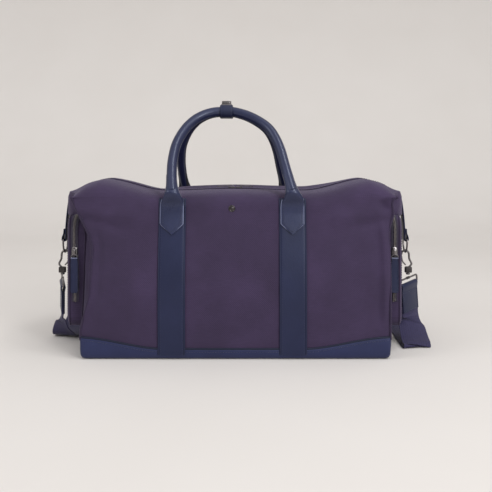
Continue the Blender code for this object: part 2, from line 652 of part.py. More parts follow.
def build_strap():
    right_at, right_wide, right_down = STRAP_ENDS["right"]
    left_at, left_wide, left_down = STRAP_ENDS["left"]
    keys = [(right_at, right_wide), (right_at + right_down * 0.010, right_wide)]
    keys += [(Vector(p), Vector(w)) for p, w in STRAP_ROUTE]
    keys += [(left_at + left_down * 0.010, left_wide), (left_at, left_wide)]
    middles = curve_points([k[0] for k in keys], 3)
    widths = curve_points([k[1] for k in keys], 3)
    outer, inner = [], []
    for i, point in enumerate(middles):
        run = (middles[min(i + 1, len(middles) - 1)] - middles[max(i - 1, 0)]).normalized()
        if i == 0:
            run = right_down
        if i == len(middles) - 1:
            run = -left_down
        wide = (widths[i] - run * widths[i].dot(run)).normalized()
        normal = run.cross(wide).normalized()
        rows = [[point + wide * a * WEB_WIDTH / 2 + normal * b * WEB_THICK / 2 for a in (-1, 1)] for b in (1, -1)]
        lift = max(0.0, GAP - min(p.z for row in rows for p in row))
        rows = [[p + Vector((0, 0, lift)) for p in row] for row in rows]
        outer.append(rows[0])
        inner.append(rows[1])
    strap = sheet_solid("shoulder_strap", outer, inner, "webbing")
    bm = bmesh.new()
    bm.from_mesh(strap.data)
    bmesh.ops.triangulate(bm, faces=bm.faces)
    bm.to_mesh(strap.data)
    bm.free()


clear_scene()
build_base()
build_walls()
build_top()
build_zips()
build_pockets()
build_handles()
build_strap_hardware()
build_strap()
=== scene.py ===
"""The looks of the weekender bag: canvas, leather, zips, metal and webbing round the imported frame."""

import math

import bmesh
import bpy
import numpy as np
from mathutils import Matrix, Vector


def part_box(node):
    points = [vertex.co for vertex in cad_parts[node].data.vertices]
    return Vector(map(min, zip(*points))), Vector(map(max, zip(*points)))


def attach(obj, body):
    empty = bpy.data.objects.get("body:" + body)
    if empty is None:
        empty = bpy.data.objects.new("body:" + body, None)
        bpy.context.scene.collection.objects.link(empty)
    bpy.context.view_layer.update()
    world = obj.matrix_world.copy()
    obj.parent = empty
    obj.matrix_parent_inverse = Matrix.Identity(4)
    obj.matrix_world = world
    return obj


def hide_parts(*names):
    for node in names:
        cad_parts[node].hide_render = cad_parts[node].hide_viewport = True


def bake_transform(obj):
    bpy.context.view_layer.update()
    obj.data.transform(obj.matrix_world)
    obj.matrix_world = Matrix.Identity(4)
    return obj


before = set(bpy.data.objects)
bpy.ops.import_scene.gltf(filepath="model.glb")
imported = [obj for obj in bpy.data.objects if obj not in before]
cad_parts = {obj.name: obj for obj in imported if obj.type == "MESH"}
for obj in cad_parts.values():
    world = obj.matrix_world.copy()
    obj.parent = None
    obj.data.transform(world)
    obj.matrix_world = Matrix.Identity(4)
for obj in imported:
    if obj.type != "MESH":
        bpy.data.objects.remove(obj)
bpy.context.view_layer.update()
SIDES = ((-1, "front"), (1, "rear"))
ENDS = ((-1, "left"), (1, "right"))

# Sizes repeated from the frame's design, in metres
HALF_LENGTH = 0.247
HALF_DEPTH = 0.1225
CREST_Y = 0.104
CREST_Z = 0.2588             # where the wall ends and the mouth's canvas begins
ROUND_FROM = 0.235           # the crest's rounding starts here
CANVAS = 0.0028
MOUTH_HALF = 0.19
ZIP_HALF = 0.0125
BAND_X = 0.0975
BAND_SHIFT = -0.003
BAND_WIDTH = 0.043
HANDLE_RADIUS = 0.0082
HANDLE_TOP = 0.4055
HANDLE_FOOT = 0.2690         # where the drawn tube begins, inside its chape
CLASP_X = -0.0155
POCKET_HALF = 0.078
POCKET_BOTTOM = 0.040
POCKET_TOP = 0.226
POCKET_ZIP_X = 0.2655
RING_X = 0.3020
RING_BAR_Z = 0.1800
RING_HALF = 0.0155
WEB_WIDTH = 0.048
WEB_THICK = 0.0018
HOOK_LEAN = 0.0050
LOOP_HALF = 0.0058           # half the height of the rectangular strap loop
ZIP_REACH = 0.262            # how far the main zip runs each way
STITCH = (0.0028, 0.0006)    # length and width

CORNERS = ((1, 1, 0), (-1, 1, 90), (-1, -1, 180), (1, -1, 270))     # signs, and where the corner's arc starts


# ---------------------------------------------------------------- materials

class Look:
    """A Principled material and a short way to add nodes to it."""

    def __init__(self, name, colour, roughness, metallic=0.0, **sockets):
        self.mat = bpy.data.materials.new(name)
        self.mat.use_nodes = True
        self.tree = self.mat.node_tree
        self.shader = self.tree.nodes["Principled BSDF"]
        self.set("Base Color", (*colour, 1.0))
        self.set("Roughness", roughness)
        self.set("Metallic", metallic)
        for key, value in sockets.items():
            self.set(key.replace("_", " "), value)

    def set(self, socket, value):
        self.shader.inputs[socket].default_value = value

    def add(self, kind, links=(), **inputs):
        node = self.tree.nodes.new(kind)
        for key, value in inputs.items():
            key = key.replace("_", " ")
            if key in node.inputs.keys():
                node.inputs[key].default_value = value
            else:
                setattr(node, key.replace(" ", "_"), value)
        for socket, source in links:
            self.tree.links.new(source, node.inputs[socket])
        return node

    def coords(self, which="Object", scale=(1, 1, 1)):
        place = self.add("ShaderNodeTexCoord")
        mapping = self.add("ShaderNodeMapping", [("Vector", place.outputs[which])])
        mapping.inputs["Scale"].default_value = scale
        return mapping.outputs[0]

    def math(self, operation, a, b=None):
        node = self.add("ShaderNodeMath", operation=operation)
        for slot, value in enumerate((a, b)):
            if value is None:
                continue
            if isinstance(value, (int, float)):
                node.inputs[slot].default_value = value
            else:
                self.tree.links.new(value, node.inputs[slot])
        return node.outputs[0]

    def ramp(self, source, stops):
        node = self.add("ShaderNodeValToRGB", [("Fac", source)])
        while len(node.color_ramp.elements) < len(stops):
            node.color_ramp.elements.new(0.5)
        for element, (at, colour) in zip(node.color_ramp.elements, stops):
            element.position = at
            element.color = (*colour, 1.0)
        return node.outputs["Color"]

    def spread(self, source, low, high):
        node = self.add("ShaderNodeMapRange", [("Value", source)])
        node.inputs["To Min"].default_value = low
        node.inputs["To Max"].default_value = high
        return node.outputs[0]

    def total(self, *parts):
        """The sum of (value, weight) pairs."""
        whole = None
        for value, weight in reversed(parts):
            part = self.math("MULTIPLY", value, weight)
            whole = part if whole is None else self.math("ADD", part, whole)
        return whole

    def wire(self, socket, source):
        self.tree.links.new(source, self.shader.inputs[socket])

    def shade(self, source, colour, *stops):
        """Wires the base colour. Each stop is (place in the source's range, factor on the colour)."""
        self.wire("Base Color", self.ramp(source, [(at, tint(colour, factor)) for at, factor in stops]))

    def bump(self, *layers):
        """Each layer is (height, distance in metres, strength)."""
        normal = None
        for height, distance, strength in layers:
            links = [("Height", height)]
            if normal:
                links.append(("Normal", normal))
            node = self.add("ShaderNodeBump", links, Distance=distance, Strength=strength)
            normal = node.outputs[0]
        self.wire("Normal", normal)


def tint(colour, factor):
    return tuple(min(1.0, c * factor) for c in colour)


def noise(look, coords, scale, detail=3.0, rough=0.55):
    return look.add("ShaderNodeTexNoise", [("Vector", coords)], Scale=scale, Detail=detail,
                    Roughness=rough).outputs["Fac"]


def bands(look, coords, pitch, direction, distortion=0.0):
    """Sine bands pitch metres apart on coordinates in metres."""
    node = look.add("ShaderNodeTexWave", [("Vector", coords)], Scale=math.pi / 10 / pitch,
                    Distortion=distortion)
    node.bands_direction = direction
    return node.outputs["Fac"]


def canvas_look(name, colour, pitch=0.0011):
    look = Look(name, colour, 0.86, Sheen_Weight=0.15, Sheen_Roughness=0.45,
                Sheen_Tint=(0.75, 0.70, 0.95, 1.0), Specular_IOR_Level=0.25)
    uv = look.coords("UV")
    twill = bands(look, uv, pitch * 1.5, "DIAGONAL", 0.6)
    weft = bands(look, uv, pitch, "Y", 0.4)
    warp = bands(look, uv, pitch, "X", 0.4)
    weave = look.total((twill, 0.6), (look.math("MULTIPLY", weft, warp), 0.6))
    here = look.coords()
    cloudy = noise(look, here, 14.0, 4.0)
    slub = noise(look, look.coords("UV", (60, 900, 1)), 1.0, 3.0)
    fleck = noise(look, here, 1500.0, 2.0)
    mixed = look.total((cloudy, 0.52), (slub, 0.25), (fleck, 0.15), (weave, 0.16))
    look.shade(mixed, colour, (0.28, 0.72), (0.50, 1), (0.74, 1.50))
    look.wire("Roughness", look.spread(cloudy, 0.80, 0.93))
    look.bump((weave, 0.0004, 0.55), (slub, 0.0004, 0.30), (noise(look, here, 60.0, 4.0), 0.0016, 0.22))
    return look.mat


def leather_look(name, colour, roughness=0.38, shine=0.36):
    look = Look(name, colour, roughness, Specular_IOR_Level=shine, Specular_Tint=(0.75, 0.82, 1.0, 1.0),
                Coat_Weight=0.05, Coat_Roughness=0.30)
    here = look.coords()
    cells = look.add("ShaderNodeTexVoronoi", [("Vector", here)], Scale=900.0)
    cells.feature = "SMOOTH_F1"
    pores = noise(look, here, 1600.0, 2.0)
    cloudy = noise(look, here, 18.0, 4.0)
    creases = noise(look, look.coords("Object", (1, 1, 0.35)), 120.0, 5.0)
    look.shade(look.total((cloudy, 0.6), (pores, 0.4)), colour, (0.32, 0.80), (0.52, 1), (0.72, 1.28))
    worn = look.total((cloudy, 0.7), (pores, 0.3))
    look.wire("Roughness", look.spread(worn, roughness - 0.08, roughness + 0.14))
    look.bump((cells.outputs["Distance"], 0.00022, 0.45), (creases, 0.0005, 0.20),
              (noise(look, here, 35.0, 3.0), 0.0016, 0.18))
    return look.mat


def metal_look(name, colour, roughness=0.24):
    look = Look(name, colour, roughness, 1.0)
    scratch = noise(look, look.coords("Object", (1, 1, 0.08)), 1400.0, 3.0)
    blotch = noise(look, look.coords(), 120.0, 4.0)
    look.shade(blotch, colour, (0.3, 0.75), (0.6, 1), (0.8, 1.35))
    worn = look.total((scratch, 0.5), (blotch, 0.5))
    look.wire("Roughness", look.spread(worn, roughness - 0.08, roughness + 0.16))
    look.bump((scratch, 0.00008, 0.25))
    return look.mat


def woven_look(name, colour, pitch, ribs, sheen=0.3):
    look = Look(name, colour, 0.72, Sheen_Weight=sheen, Sheen_Roughness=0.4, Specular_IOR_Level=0.3)
    uv = look.coords("UV")
    rows = bands(look, uv, pitch, "Y", 0.3)
    cords = bands(look, uv, ribs, "X", 0.2)
    chevron = bands(look, uv, pitch * 1.6, "DIAGONAL", 0.3)
    height = look.total((rows, 0.45), (cords, 0.4), (chevron, 0.25))
    tone = look.total((height, 0.5), (noise(look, look.coords(), 260.0), 0.5))
    look.shade(tone, colour, (0.25, 0.6), (0.5, 1), (0.8, 1.5))
    look.wire("Roughness", look.spread(tone, 0.62, 0.82))
    look.bump((height, 0.0005, 0.7))
    return look.mat


def plain_look(name, colour, roughness, scale, strength=0.2):
    look = Look(name, colour, roughness)
    grain = noise(look, look.coords(), scale, 4.0)
    look.shade(grain, colour, (0.3, 0.85), (0.7, 1.12))
    look.wire("Roughness", look.spread(grain, roughness - 0.06, roughness + 0.08))
    look.bump((grain, 0.0006, strength))
    return look.mat


CANVAS_COLOUR = (0.035, 0.023, 0.055)
LEATHER_COLOUR = (0.0110, 0.0135, 0.0430)
canvas = canvas_look("canvas", CANVAS_COLOUR)
# A darker copy of the canvas (0.72): painted shade for the corner welts, the pocket's edge cords and the lip
# under the crest.
canvas_painted_shade = canvas_look("canvas_painted_shade", tint(CANVAS_COLOUR, 0.72))
leather = leather_look("leather", LEATHER_COLOUR, 0.31)
leather_tube = leather_look("leather_tube", tint(LEATHER_COLOUR, 1.15), 0.27, 0.55)
leather_low = leather_look("leather_low", tint(LEATHER_COLOUR, 1.60), 0.33)
leather_soft = leather_look("leather_soft", tint(LEATHER_COLOUR, 0.88), 0.50)
# Pale lavender for the chape and pull edges: partly the leather's edge paint, partly a painted highlight
# where the edges catch the light.
edge_paint_and_highlight = plain_look("edge_paint_and_highlight", (0.120, 0.135, 0.230), 0.45, 900.0)
# Very dark leather (0.45) for the cord on the base seam: partly the cord's own dark colour, partly painted
# shadow in the seam between canvas and base.
piping_and_seam_shade = leather_look("piping_and_seam_shade", tint(LEATHER_COLOUR, 0.45), 0.5)
thread = woven_look("thread", (0.040, 0.046, 0.110), 0.0006, 0.0004)
thread_dark = woven_look("thread_dark", (0.030, 0.024, 0.055), 0.0006, 0.0004)
gunmetal = metal_look("gunmetal", (0.215, 0.20, 0.205))
gunmetal_dark = metal_look("gunmetal_dark", (0.070, 0.064, 0.066), 0.30)
zip_metal = metal_look("zip_metal", (0.24, 0.22, 0.21), 0.30)
tape = woven_look("zip_tape", (0.030, 0.025, 0.043), 0.0008, 0.0011)
webbing = woven_look("webbing", (0.027, 0.023, 0.066), 0.0016, 0.0040, 0.12)
lining_cloth = canvas_look("lining_cloth", (0.05, 0.05, 0.075), 0.0005)
board_card = plain_look("board_card", (0.20, 0.18, 0.15), 0.8, 300.0)


# ---------------------------------------------------------------- mesh helpers

def smooth(t):
    t = np.clip(t, 0.0, 1.0)
    return t * t * (3 - 2 * t)


def bell(t):
    return np.exp(-np.square(t))


def lengths(points):
    """How far along a path each of its points is."""
    return np.concatenate([[0], np.cumsum(np.linalg.norm(np.diff(points, axis=0), axis=1))])


def unit_rows(v):
    return v / np.linalg.norm(v, axis=1, keepdims=True)


def make(name, points, faces, mat, uvs=None, flat_angle=40):
    """A mesh object with its faces turned outwards."""
    mesh = bpy.data.meshes.new(name)
    mesh.from_pydata([tuple(p) for p in points], [], faces)
    if uvs is not None:
        layer = mesh.uv_layers.new(name="UVMap")
        for poly in mesh.polygons:
            for loop in poly.loop_indices:
                layer.data[loop].uv = uvs[mesh.loops[loop].vertex_index]
    bm = bmesh.new()
    bm.from_mesh(mesh)
    bmesh.ops.recalc_face_normals(bm, faces=bm.faces)
    bm.to_mesh(mesh)
    bm.free()
    mesh.shade_smooth()
    mesh.set_sharp_from_angle(angle=math.radians(flat_angle))
    obj = bpy.data.objects.new(name, mesh)
    obj.data.materials.append(mat)
    bpy.context.scene.collection.objects.link(obj)
    return obj


def grid_normals(grid):
    du = np.gradient(grid, axis=0)
    dv = np.gradient(grid, axis=1)
    n = np.cross(du, dv)
    return n / np.maximum(np.linalg.norm(n, axis=2, keepdims=True), 1e-12)


def shell(name, grid, thick, mat, away=None, flat_angle=50):
    """A closed sheet: grid[i, j] is its outside, thick its thickness, away a direction that is outwards."""
    n = grid_normals(grid)
    if away is not None and np.mean(n @ np.array(away, float)) < 0:
        n = -n
    rows, cols = grid.shape[:2]
    inner = grid - n * thick
    points = np.concatenate([grid.reshape(-1, 3), inner.reshape(-1, 3)])
    half = rows * cols
    index = np.arange(half).reshape(rows, cols)
    a, b = index[:-1, :-1].ravel(), index[:-1, 1:].ravel()
    c, d = index[1:, 1:].ravel(), index[1:, :-1].ravel()
    faces = list(zip(a.tolist(), b.tolist(), c.tolist(), d.tolist()))
    faces += list(zip((d + half).tolist(), (c + half).tolist(), (b + half).tolist(), (a + half).tolist()))
    rim = np.concatenate([index[0, :], index[1:, -1], index[-1, -2::-1], index[-2:0:-1, 0]]).tolist()
    for k, first in enumerate(rim):
        second = rim[(k + 1) % len(rim)]
        faces.append((second, first, first + half, second + half))
    uv = np.meshgrid(lengths(grid[:, cols // 2]), lengths(grid[rows // 2]), indexing="ij")
    uv = np.stack(uv, axis=2).reshape(-1, 2)
    uvs = np.concatenate([uv, uv]).tolist()
    return make(name, points.tolist(), faces, mat, uvs, flat_angle)


def frames_along(path, wide=None, closed=False):
    """Unit run, wide and normal directions at each point of a path."""
    if closed:
        run = np.roll(path, -1, axis=0) - np.roll(path, 1, axis=0)
    else:
        run = np.gradient(path, axis=0)
    run /= np.maximum(np.linalg.norm(run, axis=1, keepdims=True), 1e-12)
    if wide is None:
        start = np.array([0, 0, 1.0]) if abs(run[0][2]) < 0.9 else np.array([1.0, 0, 0])
        wide = np.empty_like(path)
        last = start
        for i, r in enumerate(run):
            last = last - r * last.dot(r)
            last = last / np.linalg.norm(last)
            wide[i] = last
    else:
        wide = np.broadcast_to(np.array(wide, float), path.shape).copy()
        wide = unit_rows(wide - run * np.sum(wide * run, axis=1, keepdims=True))
    return run, wide, np.cross(run, wide)


def tube_faces(rounds, count, closed=False, base=0):
    """Faces between rounds of count points each, capped at both ends unless the last meets the first."""
    faces = []
    for i in range(rounds if closed else rounds - 1):
        a, b = base + i * count, base + (i + 1) % rounds * count
        for j in range(count):
            m = (j + 1) % count
            faces.append((a + j, a + m, b + m, b + j))
    if not closed:
        faces.append(tuple(range(base, base + count))[::-1])
        faces.append(tuple(range(base + (rounds - 1) * count, base + rounds * count)))
    return faces


def sweep(name, path, profile, mat, wide=None, closed=False, scale=None, flat_angle=60):
    """A closed solid: profile points (across, out) carried along a path."""
    path = np.array(path, float)
    profile = np.array(profile, float)
    _, across, out = frames_along(path, wide, closed)
    size = np.ones(len(path)) if scale is None else np.array(scale, float)
    points = (path[:, None, :] + across[:, None, :] * profile[None, :, 0:1] * size[:, None, None]
              + out[:, None, :] * profile[None, :, 1:2] * size[:, None, None]).reshape(-1, 3)
    uvs = [(around, along) for along in lengths(path) for around in lengths(profile)]
    faces = tube_faces(len(path), len(profile), closed)
    return make(name, points.tolist(), faces, mat, uvs, flat_angle)


def circle(radius, sides=16, flatten=1.0):
    turn = [2 * math.pi * k / sides for k in range(sides)]
    return [(radius * math.cos(t), radius * flatten * math.sin(t)) for t in turn]


def rounded(width, thick, corner, steps=3):
    """A flat strap's section with rounded edges."""
    return round_box(width / 2, thick / 2, corner, corner, steps)


def catmull(keys, steps):
    keys = [np.array(k, float) for k in keys]
    ends = [2 * keys[0] - keys[1]] + keys + [2 * keys[-1] - keys[-2]]
    out = []
    for i in range(1, len(ends) - 2):
        a, b, c, d = ends[i - 1:i + 3]
        for n in range(steps):
            t = n / steps
            out.append(0.5 * (2 * b + (c - a) * t + (2 * a - 5 * b + 4 * c - d) * t * t
                              + (3 * b - a - 3 * c + d) * t ** 3))
    out.append(keys[-1])
    return np.array(out)


def arc(centre, radius, start, end, steps):
    span = [math.radians(start + (end - start) * n / steps) for n in range(steps + 1)]
    return [(centre[0] + radius * math.cos(t), centre[1] + radius * math.sin(t)) for t in span]


def round_box(half_x, half_y, inside, radius, steps):
    """A rounded rectangle. The middles of its corners' arcs lie inside the two sides by that much."""
    points = []
    for sx, sy, start in CORNERS:
        centre = (sx * (half_x - inside), sy * (half_y - inside))
        points += arc(centre, radius, start, start + 90, steps)
    return points


def resample(path, pitch):
    """Points a pitch apart along a path."""
    path = np.array(path, float)
    length = lengths(path)
    count = max(2, int(length[-1] / pitch) + 1)
    at = np.linspace(0, length[-1], count)
    return np.stack([np.interp(at, length, path[:, k]) for k in range(3)], axis=1)


def beads(name, path, pitch, size, mat, out):
    """Small rounded bars along a path, such as stitches or zip teeth. size is (length, width, height)."""
    middles = resample(path, pitch)
    run = unit_rows(np.gradient(middles, axis=0))
    out = out(middles) if callable(out) else np.broadcast_to(np.array(out, float), run.shape).copy()
    out = unit_rows(out - run * np.sum(out * run, axis=1, keepdims=True))
    side = np.cross(run, out)
    rings = ((-0.5, 0.45), (-0.28, 1.0), (0.28, 1.0), (0.5, 0.45))      # (place along, share of the width)
    sides = 6
    points, faces = [], []
    for r, s, o, p in zip(run, side, out, middles):
        faces += tube_faces(len(rings), sides, base=len(points))
        for at, grow in rings:
            for k in range(sides):
                t = 2 * math.pi * (k + 0.5) / sides
                points.append(p + r * at * size[0] + s * math.cos(t) * size[1] / 2 * grow
                              + o * math.sin(t) * size[2] / 2 * grow)
    return make(name, points, faces, mat, flat_angle=70)


def settle(obj, body, slot, *replaced):
    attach(obj, body)
    if replaced:
        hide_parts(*replaced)
    return obj


def bend_between(obj, a, b, start, end, slot, *replaced):
    """A piece that is parented to body a and then let go, so it follows no body. b, start and end are not
    used.
    """
    settle(obj, a, slot, *replaced)
    obj.parent = None
    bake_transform(obj)


def bend_from_mouth(obj, word, sign, slot, *replaced):
    """A piece that stays where it is made, with the parts it replaces hidden; it follows no body. word and
    sign are not used.
    """
    if replaced:
        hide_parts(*replaced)
    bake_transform(obj)


def sew(name, path, pitch, size, out, body="bag", slot="leather", mat=thread):
    """Separate stitches along a path. size is (length, width) or has a height, out is where they face."""
    settle(beads(name, path, pitch, (*size, size[1]) if len(size) == 2 else size, mat, out), body, slot)


def metal_wire(name, path, radius, sides, body, *replaced, **shape):
    """A bent gunmetal wire or rod."""
    settle(sweep(name, path, circle(radius, sides), gunmetal, **shape), body, "gunmetal", *replaced)


# ---------------------------------------------------------------- camera, floor and light

# The camera is level. Its frame is shifted down, not tilted, because the photo's uprights are parallel.
EYE = (0.019, -1.2225, 0.32)
LENS = 50.3
FRAME_SHIFT = -0.1748


def camera_and_studio():
    eye = bpy.data.objects.new("camera", bpy.data.cameras.new("camera"))
    eye.location = EYE
    eye.rotation_euler = (math.radians(90), 0, 0)
    eye.data.shift_y = FRAME_SHIFT
    eye.data.sensor_width = 36
    eye.data.lens = LENS
    bpy.context.scene.collection.objects.link(eye)
    bpy.context.scene.camera = eye
    bpy.context.scene.view_settings.view_transform = "Standard"

    backdrop = Look("backdrop", (0.73, 0.70, 0.67), 0.9, Specular_IOR_Level=0.1)
    paper = noise(backdrop, backdrop.coords(), 3.0, 2.0)
    backdrop.wire("Base Color", backdrop.ramp(paper, [(0.3, (0.665, 0.636, 0.612)),
                                                      (0.7, (0.680, 0.652, 0.630))]))
    bend = [(-4.0, 0.0), (1.6, 0.0)] + [(1.6 + 1.4 * math.sin(t), 1.4 - 1.4 * math.cos(t))
                                        for t in np.linspace(0.1, math.pi / 2, 10)] + [(3.0, 6.0)]
    points = [(x, y, z) for y, z in bend for x in (-7, 7)]
    faces = [(2 * i, 2 * i + 1, 2 * i + 3, 2 * i + 2) for i in range(len(bend) - 1)]
    floor = make("studio_floor", points, faces, backdrop.mat, flat_angle=60)

    world = bpy.data.worlds.new("studio")
    world.use_nodes = True
    world.node_tree.nodes["Background"].inputs["Color"].default_value = (1.0, 0.985, 0.97, 1)
    world.node_tree.nodes["Background"].inputs["Strength"].default_value = 0.54
    bpy.context.scene.world = world

    def light(name, kind, place, aim, power, size=0.0):
        lamp = bpy.data.lights.new(name, kind)
        lamp.energy = power
        if kind == "SUN":
            lamp.angle = math.radians(size)
        else:
            lamp.size = size
        holder = bpy.data.objects.new(name, lamp)
        holder.location = place
        holder.rotation_euler = (Vector(aim) - Vector(place)).to_track_quat("-Z", "Y").to_euler()
        bpy.context.scene.collection.objects.link(holder)

    light("overhead", "SUN", (0.5, -0.6, 3.0), (0, 0, 0), 0.52, 80)
    light("softbox", "AREA", (0.65, -0.45, 2.15), (0, -0.05, 0.33), 6.5, 0.40)
    light("front", "SUN", (2.0, -3.6, 2.4), (0, 0, 0), 0.95, 60)
    light("left", "AREA", (-1.7, -0.9, 1.5), (0, 0, 0.2), 9, 1.0)
    light("right", "AREA", (0.95, -1.55, 1.05), (0.2, 0, 0.26), 10, 0.40)


camera_and_studio()


# ---------------------------------------------------------------- the bag's outer form

def half_length(z):
    """Middle of the bag to the corner between front and end."""
    return HALF_LENGTH + 0.0195 * smooth((z - 0.19) / 0.07)


def half_depth(x, z):
    """Middle of the bag to the front canvas, before its crest."""
    lean = (HALF_DEPTH - CREST_Y - 0.002) * smooth((z - 0.09) / 0.18)
    belly = np.cos(np.pi * x / 0.56) * np.sin(np.pi * np.minimum(z, 0.26) / 0.26)
    return HALF_DEPTH - lean + 0.004 * belly - 0.002


def end_x(s, z):
    """Middle of the bag to the end canvas; s is -1 at the front corner and 1 at the rear one."""
    bulge = (0.021 + 0.003 * smooth((z - 0.19) / 0.07)) * np.clip(1 - s * s, 0, 1) ** 1.5
    pinch = 0.006 * np.sin(np.pi * np.minimum(1.0, (1 - np.abs(s)) / 0.5)) * smooth(z / 0.12)
    return half_length(z) - 0.0008 + bulge - pinch


def seam_height(x):
    """Top of the leather base, which climbs towards the ends."""
    return 0.0165 + 0.0185 * smooth((np.abs(x) - 0.11) / 0.14)


def zip_height(x):
    """Top of the bag along the main zip, with an ear at each end."""
    x = np.abs(x)
    line = 0.2700 - 0.003 * smooth(x / 0.12) + 0.0210 * smooth((x - 0.12) / 0.112)
    line = line + 0.0036 * bell((x - 0.247) / 0.016)
    return line - 0.0058 * smooth((x - 0.222) / 0.020) - 0.0125 * np.clip((x - 0.236) / 0.050, 0, 1)


def end_top(t):
    """Height of the seam between the top and an end; t is 0 in the middle and 1 at the crest."""
    return CREST_Z + 0.0068 * (1 - np.clip(np.abs(t), 0, 1) ** 5)


def wall_y(x, z):
    """half_depth with the rounded crest."""
    peak = np.maximum(zip_height(x) - 0.0005, z + 0.001)
    t = np.clip((z - ROUND_FROM) / (peak - ROUND_FROM), 0, 1)
    reach = half_depth(x, np.minimum(z, ROUND_FROM))
    return ZIP_HALF + (reach - ZIP_HALF) * (1 - t ** 4) ** 0.25


def top_out(x, t):
    """Outside of the top canvas as (y, z); t is 0 at the zip and 1 at the crest's seam."""
    peak = zip_height(x) - 0.0005
    low = np.clip((CREST_Z - ROUND_FROM) / (peak - ROUND_FROM), 0, 1)
    seam = (1 - low ** 4) ** 0.25
    reach = half_depth(x, ROUND_FROM) - ZIP_HALF
    y = ZIP_HALF + reach * t * seam
    z = ROUND_FROM + (peak - ROUND_FROM) * (1 - (t * seam) ** 4) ** 0.25
    return y, z


def ripple(x, z, seed):
    """Soft dents and folds in the canvas, about 1 high at most."""
    a = np.sin(11.0 * x + 7.0 * z + seed) * np.sin(17.0 * z - 5.0 * x + 2.1 * seed)
    b = np.sin(31.0 * x - 19.0 * z + 1.7 * seed) * np.sin(23.0 * z + 13.0 * x + seed * 0.6)
    c = np.sin(71.0 * x + 43.0 * z + 3.3 * seed) * np.sin(53.0 * z - 29.0 * x + seed)
    return 0.55 * a + 0.30 * b + 0.15 * c


def near(x, at, width):
    return bell((x - at) / width)


def front_swell(x, z, side):
    """How far the front (or rear) canvas stands out past its plain form."""
    clear = 1 - np.clip(near(np.abs(x), BAND_X, 0.030), 0, 1)
    rise = smooth((z - 0.03) / 0.05) * smooth((CREST_Z - z) / 0.03)
    swell = rise * clear * (0.0034 * ripple(x, z, 1.3 if side < 0 else 4.2) + 0.0016)
    across = smooth((z - 0.045) / 0.03) * smooth((0.235 - z) / 0.05)
    swell += 0.0028 * near(x, 0.2385, 0.0045) * across - 0.0030 * near(x, 0.2300, 0.0060) * across
    swell -= 0.0026 * near(x, -0.2330, 0.0070) * across
    fold = near(z, 0.232 + 0.10 * (np.abs(x) - 0.20), 0.010)
    swell += 0.0016 * fold * smooth((np.abs(x) - 0.13) / 0.05) * side * -1
    swell -= 0.0022 * near(z, 0.212 + 0.25 * (np.abs(x) - 0.20), 0.008) * smooth((np.abs(x) - 0.15) / 0.06)
    dent = near(x, 0.250, 0.011) * near(z, 0.2440, 0.011) * smooth((CREST_Z - z) / 0.008)
    swell -= 0.0075 * dent * (1 if side < 0 else 0.3)
    sag = 0.0012 * near(z, seam_height(x) + 0.010, 0.010) * clear
    return swell + sag


def front_pinch(x, z, side):
    """How far the upright edges are drawn in along X."""
    drawn = np.interp(z, (0.045, 0.070, 0.100, 0.160, 0.179, 0.1904, 0.2066, 0.2228, 0.239, 0.2520, 0.2586),
                      (0.0, 0.006, 0.0140, 0.0155, 0.0166, 0.0134, 0.0097, 0.0076, 0.0060, 0.0030, 0.0))
    left = drawn * smooth((-x - 0.16) / 0.085)
    right = -0.0040 * smooth((x - 0.19) / 0.05) * smooth((0.225 - z) / 0.05)
    under = np.interp(z, (0.2280, 0.2400, 0.2480, 0.2545, 0.2586), (0.0, 0.0046, 0.0078, 0.0080, 0.0))
    right = right + under * smooth((x - 0.225) / 0.040) * (1.0 if side < 0 else 0.4)
    if side > 0:
        left = 0.5 * left
        right = 0.5 * right
    return left - right


def upright_panel(side, word):
    """The front or rear canvas, from inside the base up to the crest."""
    rows, cols = 72, 150
    u = np.linspace(-1, 1, cols)
    grid = np.empty((cols, rows, 3))
    for i, a in enumerate(u):
        x0 = a * HALF_LENGTH
        low = seam_height(x0) - 0.004
        z = low + (CREST_Z - low) * (1 - (1 - np.linspace(0, 1, rows)) ** 1.6)
        x = a * half_length(z)
        y = wall_y(x, z) + front_swell(x, z, side)
        y = y - 0.0004 * smooth((0.250 - z) / 0.03) - 0.003 * np.abs(a) ** 24
        grid[i, :, 0] = x + front_pinch(x, z, side)
        grid[i, :, 1] = side * y
        grid[i, :, 2] = z
    obj = shell(f"{word}_canvas", grid, CANVAS, canvas, (0, side, 0))
    settle(obj, "bag", "canvas", f"{word}_panel")


